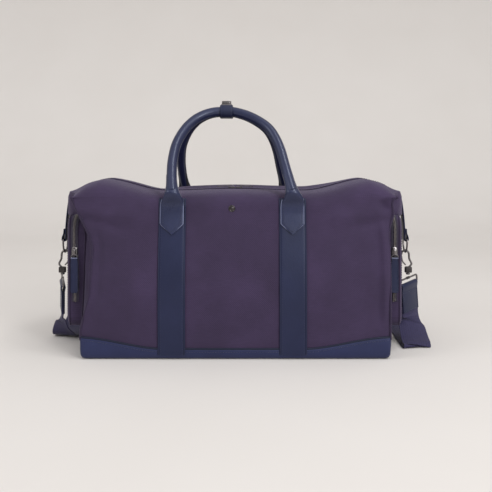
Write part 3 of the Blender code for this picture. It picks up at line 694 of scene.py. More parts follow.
def end_wall(sign, hand):
    """An end canvas: hollow beside the pocket and under the ear, and puffed out to meet the ring tab."""
    rows, cols = 60, 70
    s = np.linspace(-1, 1, cols)
    z0 = seam_height(HALF_LENGTH) - 0.004
    S, rise = np.meshgrid(s, np.linspace(0, 1, rows), indexing="ij")
    Z = z0 + (end_top((np.abs(S) - 0.12) / 0.88) - 0.0004 - z0) * rise
    reach = half_depth(half_length(Z), Z) - 0.0035
    x = end_x(S, Z)
    hollow = near(np.abs(S), 0.84, 0.10) * smooth((Z - 0.05) / 0.05) * smooth((0.25 - Z) / 0.05)
    creased = 0.0008 * ripple(S * 0.12, Z, 2.0 + sign) * smooth((np.abs(S) - 0.68) / 0.10)
    x = x - 0.0030 * hollow + creased * smooth((0.2570 - Z) / 0.010)
    under = smooth((np.abs(S) - 0.54) / 0.14) * smooth((0.99 - np.abs(S)) / 0.16)
    under = under * smooth((Z - 0.226) / 0.012) * smooth((0.2590 - Z) / 0.006)
    x = x - (0.0068 + 0.0070 * smooth((Z - 0.2440) / 0.004)) * under
    tab = np.interp(Z, (0.1950, 0.2220, 0.2450, 0.2560), (0.2990, 0.2966, 0.2940, 0.2915)) - 0.0018
    puff = smooth((Z - 0.214) / 0.012) * smooth((0.2650 - Z) / 0.008) * np.clip(1 - (S / 0.55) ** 2, 0, 1)
    x = x + np.maximum(tab - x, 0) * puff
    corner = sign * half_length(Z)
    pinched = np.where(S < 0, front_pinch(corner, Z, -1), front_pinch(corner, Z, 1))
    x = x + sign * pinched * smooth((np.abs(S) - 0.70) / 0.28)
    grid = np.stack([sign * x, S * reach, Z], axis=2)
    obj = shell(f"{hand}_end_canvas", grid, CANVAS, canvas, (sign, 0, 0))
    settle(obj, "bag", "canvas", f"{hand}_end_panel")


def corner_welts(sign, hand):
    """Bound seams up the four upright corners."""
    for side, word in SIDES:
        z = np.linspace(float(seam_height(HALF_LENGTH)) - 0.003, CREST_Z, 60)
        x = sign * half_length(z)
        y = side * (half_depth(x, z) - 0.0022)
        x = x + front_pinch(x, z, side)
        path = np.stack([x, y, z], axis=1)
        # The welts use the darker canvas copy: painted shade along the corner seams.
        obj = sweep(f"{word}_{hand}_corner_welt", path, circle(0.0021, 10), canvas_painted_shade)
        settle(obj, "bag", "canvas")


def top_grid(side, u0, u1, count):
    """Points of the top canvas between two places along the bag; u is -1 and 1 at its ends."""
    t = 0.5 - 0.5 * np.cos(np.pi * np.linspace(0, 1, 34))
    grid = np.empty((count, len(t), 3))
    for i, a in enumerate(np.linspace(u0, u1, count)):
        s = 0.12 + 0.88 * t
        end = end_x(s, 0.262) - 0.0004
        x = np.sign(a) * (0.02 + (end - 0.02) * (abs(a) - 0.02) / 0.98) if abs(a) > 0.02 else a + 0 * t
        y, z = top_out(x, t)
        dent = ripple(x, y, 7.0 + side) * smooth(t / 0.2) * smooth((1 - t) / 0.2)
        if side > 0:
            z = z + 0.0056 * near(t, 0.34, 0.20) * smooth((np.where(x > 0, 0.205, 0.150) - np.abs(x)) / 0.07)
        z = z + 0.0009 * dent * smooth((np.abs(x) - 0.03) / 0.05) * smooth((0.26 - np.abs(x)) / 0.05)
        u = np.clip((np.abs(x) - MOUTH_HALF) / (end - MOUTH_HALF), 0, 1)
        grid[i, :, 0] = x
        grid[i, :, 1] = side * y
        grid[i, :, 2] = end_top(t) + (z - end_top(t)) * (1 - u ** 7)
    return grid


def top_canvas(side, word):
    """The top: a middle piece on the mouth and two that bend down to the bag's ends."""
    pieces = (("left", -1, -1.0, -0.02, 90), ("middle", 0, -0.02, 0.02, 5), ("right", 1, 0.02, 1.0, 90))
    for name, sign, u0, u1, count in pieces:
        obj = shell(f"{word}_top_{name}", top_grid(side, u0, u1, count), 0.0026, canvas, (0, 0, 1))
        if sign == 0:
            settle(obj, f"{word}_mouth", "canvas", f"{word}_mouth_panel")
        elif side < 0:
            bend_from_mouth(obj, word, sign, "canvas", f"{name}_top_end")
        else:
            bend_from_mouth(obj, word, sign, "canvas")
    # The lip below the crest is in the darker canvas copy: painted shade in the hollow under the crest.
    lip = top_grid(side, -0.78, 0.78, 60)[:, 22:, :]
    lip[:, :, 2] -= 0.0034
    settle(shell(f"{word}_crest_lip", lip, 0.0012, canvas_painted_shade, (0, 0, 1)), "bag", "canvas")


def zip_end(sign, hand):
    """The canvas that closes the top between the end of the zip and the bag's end."""
    end = float(end_x(0.0, 0.262)) - 0.0004
    x = np.linspace(0.2190, end, 24)
    u = np.clip((x - MOUTH_HALF) / (end - MOUTH_HALF), 0, 1)
    z = end_top(0) + (zip_height(x) - 0.0005 - end_top(0)) * (1 - u ** 7) - 0.0012
    y = np.linspace(-ZIP_HALF - 0.003, ZIP_HALF + 0.003, 13)
    X, Y = np.meshgrid(x, y, indexing="ij")
    Z = z[:, None] - 0.0012 * (1 - (Y / (ZIP_HALF + 0.003)) ** 2)
    grid = np.stack([sign * X, Y, Z], axis=2)
    settle(shell(f"{hand}_zip_end", grid, 0.0014, canvas, (0, 0, 1)), "bag", "canvas")


for side, word in SIDES:
    upright_panel(side, word)
    top_canvas(side, word)
for sign, hand in ENDS:
    end_wall(sign, hand)
    zip_end(sign, hand)
    corner_welts(sign, hand)


# ---------------------------------------------------------------- leather base and bands

def plan(z, inset, across=150, down=90):
    """The bag's plan at one height as a closed loop of points."""
    limit = half_length(z) - inset
    xs = np.linspace(-limit, limit, across + 1)
    front = [(x, -(half_depth(x, z) - inset)) for x in xs]
    s = np.linspace(-1, 1, down + 1)[1:-1]
    depth = half_depth(limit, z) - inset
    right = [(end_x(a, z) - inset, a * depth) for a in s]
    rear = [(x, -y) for x, y in reversed(front)]
    left = [(-x, -y) for x, y in right]
    return np.array(front + right + rear + left)


def loft(name, loops, mat, flat_angle=50):
    """A closed solid through loops of points, capped at both ends."""
    loops = [np.array(loop, float) for loop in loops]
    around = lengths(loops[0])
    uvs = [(a, float(p[2])) for loop in loops for a, p in zip(around, loop)]
    faces = tube_faces(len(loops), len(loops[0]))
    return make(name, np.concatenate(loops).tolist(), faces, mat, uvs, flat_angle)


def round_corners(loop, times=2):
    for _ in range(times):
        loop = 0.5 * loop + 0.25 * (np.roll(loop, 1, axis=0) + np.roll(loop, -1, axis=0))
    return loop


def draw_in(flat, z):
    """Moves a level loop in or out as the canvas's upright edges are drawn."""
    shift = np.where(flat[:, 1] < 0, front_pinch(flat[:, 0], z, -1), front_pinch(flat[:, 0], z, 1))
    flat[:, 0] += shift * smooth((np.abs(flat[:, 0]) - 0.16) / 0.05)
    return flat


def base_loop(z, inset):
    return draw_in(round_corners(plan(z, inset), 3), 0.017)


def lining():
    """The loose inner bag, drawn in where the canvas is."""
    def ring(z, inset):
        flat = round_corners(plan(z, inset, 60, 40), 1)
        flat = draw_in(flat, z)
        flat[:, 1] += 0.0006 * np.sin(90 * flat[:, 0] + 40 * z)
        return np.column_stack([flat, np.full(len(flat), z)])

    levels = np.linspace(0.012, 0.243, 16)
    loops = [ring(0.0076, 0.014)] + [ring(z, 0.0080) for z in levels]
    loops += [ring(z, 0.0090) for z in levels[::-1]] + [ring(0.0086, 0.015)]
    settle(loft("lining_bag", loops, lining_cloth), "bag", "lining", "lining")


def leather_base():
    loops = []
    for z, inset in ((0.0003, 0.0085), (0.0003, 0.0062), (0.0011, 0.0036),
                     (0.0026, 0.0016), (0.0048, 0.0004), (0.0075, -0.0006)):
        flat = base_loop(0.007, inset)
        loops.append(np.column_stack([flat, np.full(len(flat), z)]))
    for t in (0.35, 0.7, 0.93, 1.0):
        flat = base_loop(0.017, -0.0012 if t < 0.99 else -0.0006)
        top = seam_height(flat[:, 0])
        loops.append(np.column_stack([flat, 0.0075 + (top - 0.0075) * t]))
    flat = base_loop(0.017, 0.0040)
    loops.append(np.column_stack([flat, seam_height(flat[:, 0]) - 0.0002]))
    flat = base_loop(0.007, 0.0040)
    loops.append(np.column_stack([flat, np.full(len(flat), 0.0070)]))
    obj = loft("leather_base", loops, leather_low)
    settle(obj, "bag", "leather", "base_panel")
    flat = base_loop(0.017, -0.0004)
    seam = np.column_stack([flat, seam_height(flat[:, 0]) + 0.0008])
    # The cord's very dark colour also paints the shadow in the seam.
    settle(sweep("base_piping", seam, circle(0.0016, 8), piping_and_seam_shade, closed=True), "bag", "leather")
    flat = base_loop(0.017, -0.0014)
    line = np.column_stack([flat, seam_height(flat[:, 0]) - 0.0042])
    sew("base_stitches", line, 0.0042, (0.0030, 0.0007), (0, 0, 1))


def board():
    """The stiff card in the bottom of the bag."""
    low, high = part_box("base_board")
    loops = []
    for z, inset in ((low[2], 0.0006), (low[2] + 0.0004, 0.0), (high[2] - 0.0004, 0.0), (high[2], 0.0006)):
        outline = round_box(high[0], high[1], 0.014, 0.014 - inset, 8)
        loops.append([(a, b, z) for a, b in outline])
    settle(loft("base_board_card", loops, board_card), "bag", "board", "base_board")


def strip_over(name, side, x0, half, bottom, top, lift, thick, mat):
    """A leather strip lying on the front or rear wall, with softened edges."""
    rows, cols = 60, 22
    grid = np.empty((cols, rows, 3))
    z = np.linspace(bottom, top, rows)
    for i, a in enumerate(np.linspace(-1, 1, cols)):
        x = x0 + a * half + 0 * z
        edge = np.clip((np.abs(a) - 0.80) / 0.20, 0, 1)
        y = wall_y(x, z) + lift + thick - 0.6 * thick * edge ** 2
        grid[i] = np.stack([x, side * y, z], axis=1)
    return shell(name, grid, thick, mat, (0, side, 0), 65)


def band(side, word, sign, hand):
    x0 = sign * BAND_X + BAND_SHIFT
    half = BAND_WIDTH / 2
    obj = strip_over(f"{word}_{hand}_strap_band", side, x0, half, 0.0080, 0.2578, 0.0004, 0.0020, leather)
    settle(obj, "bag", "leather", f"{word}_{hand}_band")
    z = np.linspace(0.0085, 0.2570, 90)
    for k in (-1, 1):
        edge = "in" if k * sign < 0 else "out"
        x = np.full_like(z, x0 + k * (half - 0.0008))
        rib = np.stack([x, side * (wall_y(x, z) + 0.0016), z], axis=1)
        welt = sweep(f"{word}_{hand}_band_rib_{edge}", rib, circle(0.0014, 8), leather_soft)
        settle(welt, "bag", "leather")
        x = np.full_like(z, x0 + k * (half - 0.0042))
        line = np.stack([x, side * (wall_y(x, z) + 0.0022), z], axis=1)
        sew(f"{word}_{hand}_band_stitches_{edge}", line, 0.0042, (0.0030, 0.0006, 0.0007), (0, side, 0))


leather_base()
board()
lining()
for side, word in SIDES:
    for sign, hand in ENDS:
        band(side, word, sign, hand)


# ---------------------------------------------------------------- handles

HANDLE_KEYS = [
    (-0.1000, HANDLE_FOOT), (-0.1030, 0.2950), (-0.1034, 0.3200), (-0.0990, 0.3475), (-0.0868, 0.3725),
    (-0.0715, 0.3893), (-0.0556, 0.3990), (-0.0400, 0.4040), (-0.0265, 0.4055), (-0.0155, 0.4055),
    (-0.0045, 0.4055), (0.0195, 0.3990), (0.0425, 0.3873), (0.0590, 0.3738), (0.0700, 0.3560),
    (0.0778, 0.3350), (0.0840, 0.3090), (0.0900, 0.2850), (0.0940, HANDLE_FOOT)]


def handle_line(side):
    """Middle of a handle's tube, which leans in from the wall to the clasp."""
    low_y, top_y = 0.116, 0.0095
    keys = []
    for x, z in HANDLE_KEYS:
        up = (z - HANDLE_FOOT) / (HANDLE_TOP - HANDLE_FOOT)
        keys.append((x, side * (low_y - (low_y - top_y) * up), z))
    return catmull(keys, 8)


leather_inside = plain_look("leather_inside", (0.012, 0.012, 0.018), 0.7, 700.0)


def handle(side, word):
    line = handle_line(side)
    radius = HANDLE_RADIUS + 0.0001
    obj = sweep(f"{word}_handle_tube", line, circle(radius, 28), leather_tube, wide=(0, side, 0))
    settle(obj, f"{word}_handle", "leather", f"{word}_handle")
    _, across, out = frames_along(line, (0, side, 0))
    inward = out * (-1 if np.dot(out[len(line) // 2], (0, 0, 1)) > 0 else 1)
    for turn, tag in ((-24, "a"), (24, "b")):
        c, s = math.cos(math.radians(turn)), math.sin(math.radians(turn))
        facing = inward * c + across * s
        seam = line + facing * (radius + 0.00005)
        obj = sweep(f"{word}_handle_seam_{tag}", seam[6:-6], circle(0.0007, 6), leather_soft)
        settle(obj, f"{word}_handle", "leather")
    path = line + inward * (radius + 0.0001)
    sew(f"{word}_handle_stitches", path[6:-6], 0.0040, (0.0028, 0.0007, 0.0006), (0, -side * 0.3, -1),
        f"{word}_handle")


def rounded_turn(count, power):
    """A unit loop between a circle (power 2) and a square, as cosines and sines."""
    t = np.linspace(0, 2 * np.pi, count, endpoint=False)
    return [np.sign(v) * np.abs(v) ** (2 / power) for v in (np.cos(t), np.sin(t))]


def superloop(centre, half_w, half_t, power, count=40):
    """A rounded section in a level plane: wide along X, thick along Y."""
    c, s = rounded_turn(count, power)
    return np.column_stack([centre[0] + half_w * c, centre[1] + half_t * s, np.full(count, centre[2])])


def chape_half(z):
    """Half the width of the house-shaped leather end that a handle is sewn on by."""
    full = 0.0186
    point = 0.0012 + (full - 0.0012) * np.clip((z - 0.2005) / 0.0160, 0, 1)
    neck = np.interp(z, (0.2430, 0.2510, 0.2589, 0.2686, 0.2782, 0.2870, 0.3000),
                     (full, 0.0178, 0.0155, 0.0118, 0.0096, 0.0089, 0.0087))
    return np.minimum(point, neck)


def chape(side, word, sign, hand):
    """The handle's sewn end, from its point up to where it closes round the tube."""
    line = handle_line(side)
    half = line[: len(line) // 2] if sign < 0 else line[: len(line) // 2 - 1: -1]
    tube_z = half[:, 2]
    levels = ((0.2005, 0.2165, 9), (0.2185, 0.243, 9), (0.2455, 0.296, 26))
    zs = np.concatenate([np.linspace(*level) for level in levels])
    x0 = sign * BAND_X + BAND_SHIFT - 0.0005

    def wall(x, z):
        return float(wall_y(x, min(z, 0.2500)))

    loops = []
    for z in zs:
        q = float(smooth((z - 0.243) / 0.026))
        flat_y = side * (wall(x0, z) + 0.0024 + 0.0017)
        tx = float(np.interp(max(z, tube_z[0]), tube_z, half[:, 0]))
        ty = float(np.interp(max(z, tube_z[0]), tube_z, half[:, 1]))
        if z < tube_z[0]:
            tx = float(half[0, 0] + (half[1, 0] - half[0, 0]) / (half[1, 2] - half[0, 2]) * (z - tube_z[0]))
        centre = (x0 + (tx - x0) * q, flat_y + (ty - flat_y) * q, z)
        thick = 0.0017 + (0.0090 - 0.0017) * q
        power = 5.0 - 2.9 * q
        loops.append(superloop(centre, float(chape_half(z)), thick, power))
    obj = loft(f"{word}_{hand}_handle_chape", loops, leather_tube, flat_angle=60)
    obj.data.materials.append(leather_inside)
    for poly in obj.data.polygons:
        if poly.normal.y * side < -0.35:
            poly.material_index = 1
    bend_between(obj, "bag", f"{word}_handle", (0, 0, 0.2560), (0, 0, 0.2760), "leather",
                 f"{word}_{hand}_chape")
    edge = []
    for z in np.linspace(0.2560, 0.2172, 20):
        edge.append((-float(chape_half(z)) + 0.0002, z))
    for k in np.linspace(0, 1, 9)[1:]:
        edge.append((-0.0184 * (1 - k), 0.2166 - (0.2166 - 0.2008) * k))
    edge = edge + [(-x, z) for x, z in reversed(edge[:-1])]
    path = [(x0 + x, side * (wall(x0 + x, z) + 0.0044), z) for x, z in edge]
    # The chape's rim in the pale edge colour: edge paint and painted highlight.
    settle(sweep(f"{word}_{hand}_chape_edge", path, circle(0.0010, 8), edge_paint_and_highlight), "bag", "leather")
    inner = [(x0 + x * 0.80, side * (wall(x0 + x * 0.8, z) + 0.0058), 0.2016 + (z - 0.2008) * 0.93 + 0.0026)
             for x, z in edge if z < 0.2500]
    sew(f"{word}_{hand}_chape_stitches", inner, 0.0038, (0.0028, 0.0007), (0, side, 0))


def clasp():
    """The wrap that holds the two handles together and its turning lock."""
    ring = arc((0.0095, HANDLE_TOP), HANDLE_RADIUS + 0.0032, -90, 90, 14)
    ring += arc((-0.0095, HANDLE_TOP), HANDLE_RADIUS + 0.0032, 90, 270, 14)
    core = np.array(ring)
    away = unit_rows(core - np.array((0.0, HANDLE_TOP)))
    loops = []
    for x, grow in ((-0.0108, -0.0018), (-0.0112, -0.0006), (-0.0106, 0.0), (-0.0088, 0.0002),
                    (0.0088, 0.0002), (0.0106, 0.0), (0.0112, -0.0006), (0.0108, -0.0018)):
        yz = core + away * grow
        loops.append(np.column_stack([np.full(len(yz), CLASP_X + x), yz]))
    points = np.concatenate(loops).tolist()
    uvs = [(p[0], 0.01 * (i % len(core))) for i, p in enumerate(points)]
    wrap = make("clasp_wrap", points, tube_faces(len(loops), len(core), True), leather_soft, uvs, 55)
    settle(wrap, "front_handle", "leather", "handle_wrap")
    yz = core + away * 0.0004
    for k, end in ENDS:
        line = np.column_stack([np.full(len(yz), CLASP_X + k * 0.0086), yz])
        line = np.vstack([line, line[:1]])
        middle = np.array((CLASP_X + k * 0.0086, 0.0, HANDLE_TOP))
        sew(f"clasp_wrap_stitches_{end}", line, 0.0036, (0.0026, 0.0007, 0.0006),
            lambda p, m=middle: p - m, "front_handle")
    top = HANDLE_TOP + HANDLE_RADIUS + 0.0012 + 0.0022 + 0.0003

    def slab(name, half_x, half_y, z0, z1, corner, mat, bevel=0.0005):
        loops = []
        for z, inset in ((z0, bevel), (z0 + bevel, 0), (z1 - bevel, 0), (z1, bevel)):
            outline = round_box(half_x, half_y, corner, corner - inset, 6)
            loops.append([(CLASP_X + a, b, z) for a, b in outline])
        return loft(name, loops, mat, flat_angle=35)

    plate = slab("clasp_face_plate", 0.0098, 0.0072, top - 0.0006, top + 0.0016, 0.0026, gunmetal)
    settle(plate, "front_handle", "gunmetal", "clasp_plate")
    for k, end in ENDS:
        screw = [[(CLASP_X + k * 0.0078 + a, b, top + z) for a, b in arc((0, 0), r, 0, 330, 11)]
                 for z, r in ((0.0012, 0.0011), (0.0019, 0.0011), (0.0021, 0.0007))]
        settle(loft(f"clasp_rivet_{end}", screw, gunmetal_dark), "front_handle", "gunmetal")
    knob = slab("clasp_turn_knob", 0.0084, 0.0039, top + 0.0021, top + 0.0074, 0.0036, gunmetal, 0.0008)
    post = [[(CLASP_X + a, b, top + z) for a, b in arc((0, 0), 0.0022, 0, 340, 17)] for z in (0.0012, 0.0030)]
    settle(loft("clasp_turn_post", post, gunmetal_dark), "clasp_knob", "gunmetal")
    settle(knob, "clasp_knob", "gunmetal", "clasp_knob")


def stud():
    x0, z0 = -0.004, 0.2412
    face = float(wall_y(x0, z0)) + 0.0005
    loops = []
    for out, radius in ((-0.0006, 0.0056), (0.0008, 0.0057), (0.0016, 0.0053), (0.0021, 0.0044),
                        (0.0016, 0.0039), (0.0013, 0.0033), (0.0017, 0.0026), (0.0020, 0.0010)):
        loops.append([(x0 + a, -(face + out), z0 + b) for a, b in arc((0, 0), radius, 0, 350, 35)])
    settle(loft("front_snap_stud", loops, gunmetal_dark, flat_angle=30), "bag", "gunmetal", "front_stud")


for side, word in SIDES:
    handle(side, word)
    for sign, hand in ENDS:
        chape(side, word, sign, hand)
clasp()
stud()


# ---------------------------------------------------------------- zips

def tape_and_teeth(side, word):
    """The main zip: a tape under each edge and its metal teeth, along the whole top."""
    for sign, hand in ENDS:
        x = np.linspace(0.0, ZIP_REACH, 130)
        rows = []
        z = zip_height(x) - 0.0033 + 0.0004 * np.sin(60 * x + side) - 0.0010 * smooth((x - 0.24) / 0.02)
        for y in (ZIP_HALF + 0.0045, ZIP_HALF, 0.0075, 0.0036):
            rows.append(np.stack([sign * x, side * y + 0 * x, z], axis=1))
        grid = np.stack(rows, axis=1)
        obj = shell(f"{word}_{hand}_zip_tape", grid, 0.0008, tape, (0, 0, 1))
        bend_from_mouth(obj, word, sign, "zip_tape", *([f"{word}_zip_tape"] if sign < 0 else []))
        line = grid[:, 3].copy()
        line[:, 1] = side * 0.0022
        line[:, 2] += 0.0002
        keep = x > 0.0138
        teeth = beads(f"{word}_{hand}_zip_teeth", line[keep], 0.0024, (0.0013, 0.0036, 0.0018), zip_metal,
                      (0, 0, 1))
        bend_from_mouth(teeth, word, sign, "gunmetal")
        x = np.linspace(0.004, ZIP_REACH, 120)
        hem = np.stack([sign * x, side * (ZIP_HALF + 0.0016) + 0 * x, zip_height(x) - 0.0001], axis=1)
        stitched = beads(f"{word}_{hand}_mouth_stitches", hem, 0.0040, (*STITCH, STITCH[1]), thread_dark,
                         (0, 0, 1))
        bend_from_mouth(stitched, word, sign, "canvas")


def frustum(name, at, along, across, up, stations):
    """A rounded body: stations are (height, half length, half width, shift along)."""
    loops = []
    a, b = rounded_turn(20, 3.0)
    at, along, across, up = (np.array(v, float) for v in (at, along, across, up))
    for height, half_l, half_w, shift in stations:
        loops.append(at + up * height + np.outer(a * half_l + shift, along) + np.outer(b * half_w, across))
    return loft(name, loops, gunmetal, flat_angle=40)


def slider_body(name, at, along, across, up):
    """A zip slider's plates and the bridge that its pull hangs on, as three objects."""
    body = frustum(name, at, along, across, up,
                   [(0.0010, 0.0056, 0.0036, 0), (0.0014, 0.0062, 0.0042, 0),
                    (0.0024, 0.0062, 0.0042, 0), (0.0029, 0.0054, 0.0034, 0)])
    low = frustum(name + "_foot", at, along, across, up,
                  [(-0.0044, 0.0056, 0.0034, 0), (-0.0034, 0.0060, 0.0040, 0), (-0.0030, 0.0056, 0.0036, 0)])
    at, along, up = (np.array(v, float) for v in (at, along, up))
    bow = ((0.0040, 0.0024), (0.0028, 0.0052), (-0.0004, 0.0062), (-0.0034, 0.0050), (-0.0044, 0.0024))
    bridge = catmull([at + along * a + up * b for a, b in bow], 6)
    bow = sweep(name + "_bridge", bridge, rounded(0.0022, 0.0010, 0.0004, 2), gunmetal, wide=across)
    return body, low, bow


def pull_plate(name, hinge, run, wide, length, half, mat):
    """A flat metal pull with a hole for the bridge and a rounded tip."""
    thick, start = 0.0013, 0.0012
    hinge, run, wide = (np.array(v, float) for v in (hinge, run, wide))
    out = np.cross(run, wide)
    turn = np.linspace(0, 2 * np.pi, 24)[:-1]
    hole = [(start + 0.0034 + 0.0020 * math.cos(t), 0.0016 * math.sin(t)) for t in turn]
    rim = [(start + 0.0034 + 0.0034 * math.cos(t), (half * 0.82) * math.sin(t)) for t in turn]
    points, faces = [], []
    for h in (-thick / 2, thick / 2):
        for a, b in hole + rim:
            points.append(hinge + run * a + wide * b + out * h)
    n = len(hole)
    for i in range(n):
        j = (i + 1) % n
        faces += [(i, j, n + j, n + i), (2 * n + i, 3 * n + i, 3 * n + j, 2 * n + j),
                  (i, 2 * n + i, 2 * n + j, j), (n + i, n + j, 3 * n + j, 3 * n + i)]
    ring = make(name + "_eye", points, faces, mat, flat_angle=40)
    sections = []
    edge = ((-1, -0.5), (-0.8, -1), (0.8, -1), (1, -0.5), (1, 0.5), (0.8, 1), (-0.8, 1), (-1, 0.5))
    for a, w in ((0.0062, 0.55), (0.0075, 0.62), (0.012, 0.80), (0.020, 1.0), (length - 0.002, 1.0),
                 (length - 0.0006, 0.8), (length, 0.45)):
        middle = hinge + run * (start + a)
        sections.append([middle + wide * (half * w * x) + out * (thick / 2 * y) for x, y in edge])
    plate = loft(name, sections, mat, flat_angle=50)
    return plate, ring


def main_sliders():
    for sign, hand in ENDS:
        at = (sign * 0.0068, 0, float(zip_height(0)) - 0.0006)
        node = f"main_zip_{hand}_slider"
        body, foot, bridge = slider_body(f"{node}_cap", at, (-sign, 0, 0), (0, 1, 0), (0, 0, 1))
        settle(body, node, "gunmetal", node)
        settle(foot, node, "gunmetal")
        settle(bridge, node, "gunmetal")
        hinge = (sign * 0.0060, 0, 0.2747)
        run = (sign * 0.998, 0, -0.062)
        node = f"main_zip_{hand}_pull"
        plate, eye = pull_plate(f"{node}_tab", hinge, run, (0, 1, 0), 0.0245, 0.0034, gunmetal)
        settle(plate, node, "gunmetal", node)
        settle(eye, node, "gunmetal")


# ---------------------------------------------------------------- end pockets

def pocket_loop(inset, corner=0.024, count=120):
    """A rounded rectangle (y, z) inside the pocket's edge."""
    half_y = POCKET_HALF - inset
    mid = (POCKET_TOP + POCKET_BOTTOM) / 2
    half_z = (POCKET_TOP - POCKET_BOTTOM) / 2 - inset
    r = max(corner - inset * 0.6, 0.004)
    r = min(r, half_y, half_z)
    points = []
    for sy, sz, start in CORNERS:
        points += arc((sy * (half_y - r), mid + sz * (half_z - r)), r, start, start + 90, 8)
    points = np.array(points + points[:1])
    length = lengths(points)
    at = np.linspace(0, length[-1], count + 1)[:-1]
    return np.stack([np.interp(at, length, points[:, k]) for k in (0, 1)], axis=1)


def wall_x(y, z):
    return end_x(np.clip(y / (half_depth(HALF_LENGTH, z) - 0.003), -1, 1), z)


def pocket_front(y, z):
    """Outside of the pocket's face, puffed and a little slack."""
    face = 0.286 - 0.006 * (y / 0.07) ** 2
    slack = 0.0012 * ripple(y, z, 5.5) + 0.0010 * near(z, 0.075, 0.03)
    return face + slack * smooth((POCKET_HALF - np.abs(y)) / 0.03)


def pocket(sign, hand):
    base = pocket_loop(0.0)
    foot = wall_x(base[:, 0], base[:, 1])
    loops = [np.column_stack([sign * (foot + rise), base]) for rise in (-0.0010, 0.0065)]
    for inset, drop in ((0.0, 0.0062), (0.0016, 0.0026), (0.0044, 0.0009), (0.0085, 0.0), (0.016, -0.0002),
                        (0.028, 0.0), (0.044, 0.0), (0.060, 0.0)):
        ring = pocket_loop(inset)
        loops.append(np.column_stack([sign * (pocket_front(ring[:, 0], ring[:, 1]) - drop), ring]))
    obj = loft(f"{hand}_pocket_shell", loops, canvas, flat_angle=60)
    layer = obj.data.uv_layers.active.data
    for poly in obj.data.polygons:
        for loop in poly.loop_indices:
            point = obj.data.vertices[obj.data.loops[loop].vertex_index].co
            layer[loop].uv = (point.y, point.z)
    settle(obj, "bag", "canvas", f"{hand}_pocket")
    for inset, tag, lift in ((0.0006, "outer", -0.0040), (0.0002, "inner", None)):
        ring = pocket_loop(inset)
        if lift is None:
            x = wall_x(ring[:, 0], ring[:, 1]) + 0.0012
        else:
            x = pocket_front(ring[:, 0], ring[:, 1]) + lift
        path = np.column_stack([sign * x, ring])
        # The pocket's edge cords use the darker canvas copy: painted shade round the pocket.
        obj = sweep(f"{hand}_pocket_piping_{tag}", path, circle(0.0014, 8), canvas_painted_shade, closed=True)
        settle(obj, "bag", "canvas")
    ring = pocket_loop(0.0068)
    path = np.column_stack([sign * (pocket_front(ring[:, 0], ring[:, 1]) + 0.0001), ring])
    sew(f"{hand}_pocket_stitches", path, 0.0040, STITCH, (sign, 0, 0), "bag", "canvas", thread_dark)


def pocket_zip(sign, hand):
    """The zip in the pocket's gusset, which runs up the front, over the top and down the back."""
    ring = pocket_loop(-0.0006, count=400)
    order = np.argsort(np.arctan2(ring[:, 1] - 0.125, ring[:, 0]))
    ring = ring[order]
    start = int(np.argmin(np.hypot(ring[:, 0] - POCKET_HALF, ring[:, 1] - 0.085)))
    ring = np.roll(ring, -start, axis=0)
    last = int(np.argmin(np.hypot(ring[:, 0] + POCKET_HALF, ring[:, 1] - 0.085)))
    ring = ring[: last + 1]
    middle = np.array((0.0, 0.125))
    run = unit_rows(np.gradient(ring, axis=0))
    out = np.stack([run[:, 1], -run[:, 0]], axis=1)
    out *= np.sign(np.sum(out * (ring - middle), axis=1, keepdims=True))
    x = POCKET_ZIP_X + 0.0012 * np.sin(ring[:, 1] * 40)
    rows = []
    for a in (-0.0058, 0.0, 0.0058):
        yz = ring + out * (0.0008 if a == 0 else 0.0004)
        rows.append(np.column_stack([sign * (x + a), yz]))
    grid = np.stack(rows, axis=1)
    obj = shell(f"{hand}_pocket_zip_tape", grid, 0.0006, tape)
    settle(obj, "bag", "zip_tape", f"{hand}_pocket_zip")
    line = np.column_stack([sign * x, ring + out * 0.0013])
    for k in (-1, 1):
        part = line + np.array((sign * k * 0.0011, 0, 0))
        pick = resample(part, 0.0021)
        if k > 0:
            pick = pick[:-1] + 0.5 * np.diff(pick, axis=0)
        inside = np.array((0.0, 0.0, 0.125))
        teeth = beads(f"{hand}_pocket_zip_teeth_{'in' if k < 0 else 'out'}", pick, 0.0021,
                      (0.0012, 0.0030, 0.0016), zip_metal,
                      lambda p, m=inside: (p - m) * np.array((0, 1, 1)))
        settle(teeth, "bag", "gunmetal")


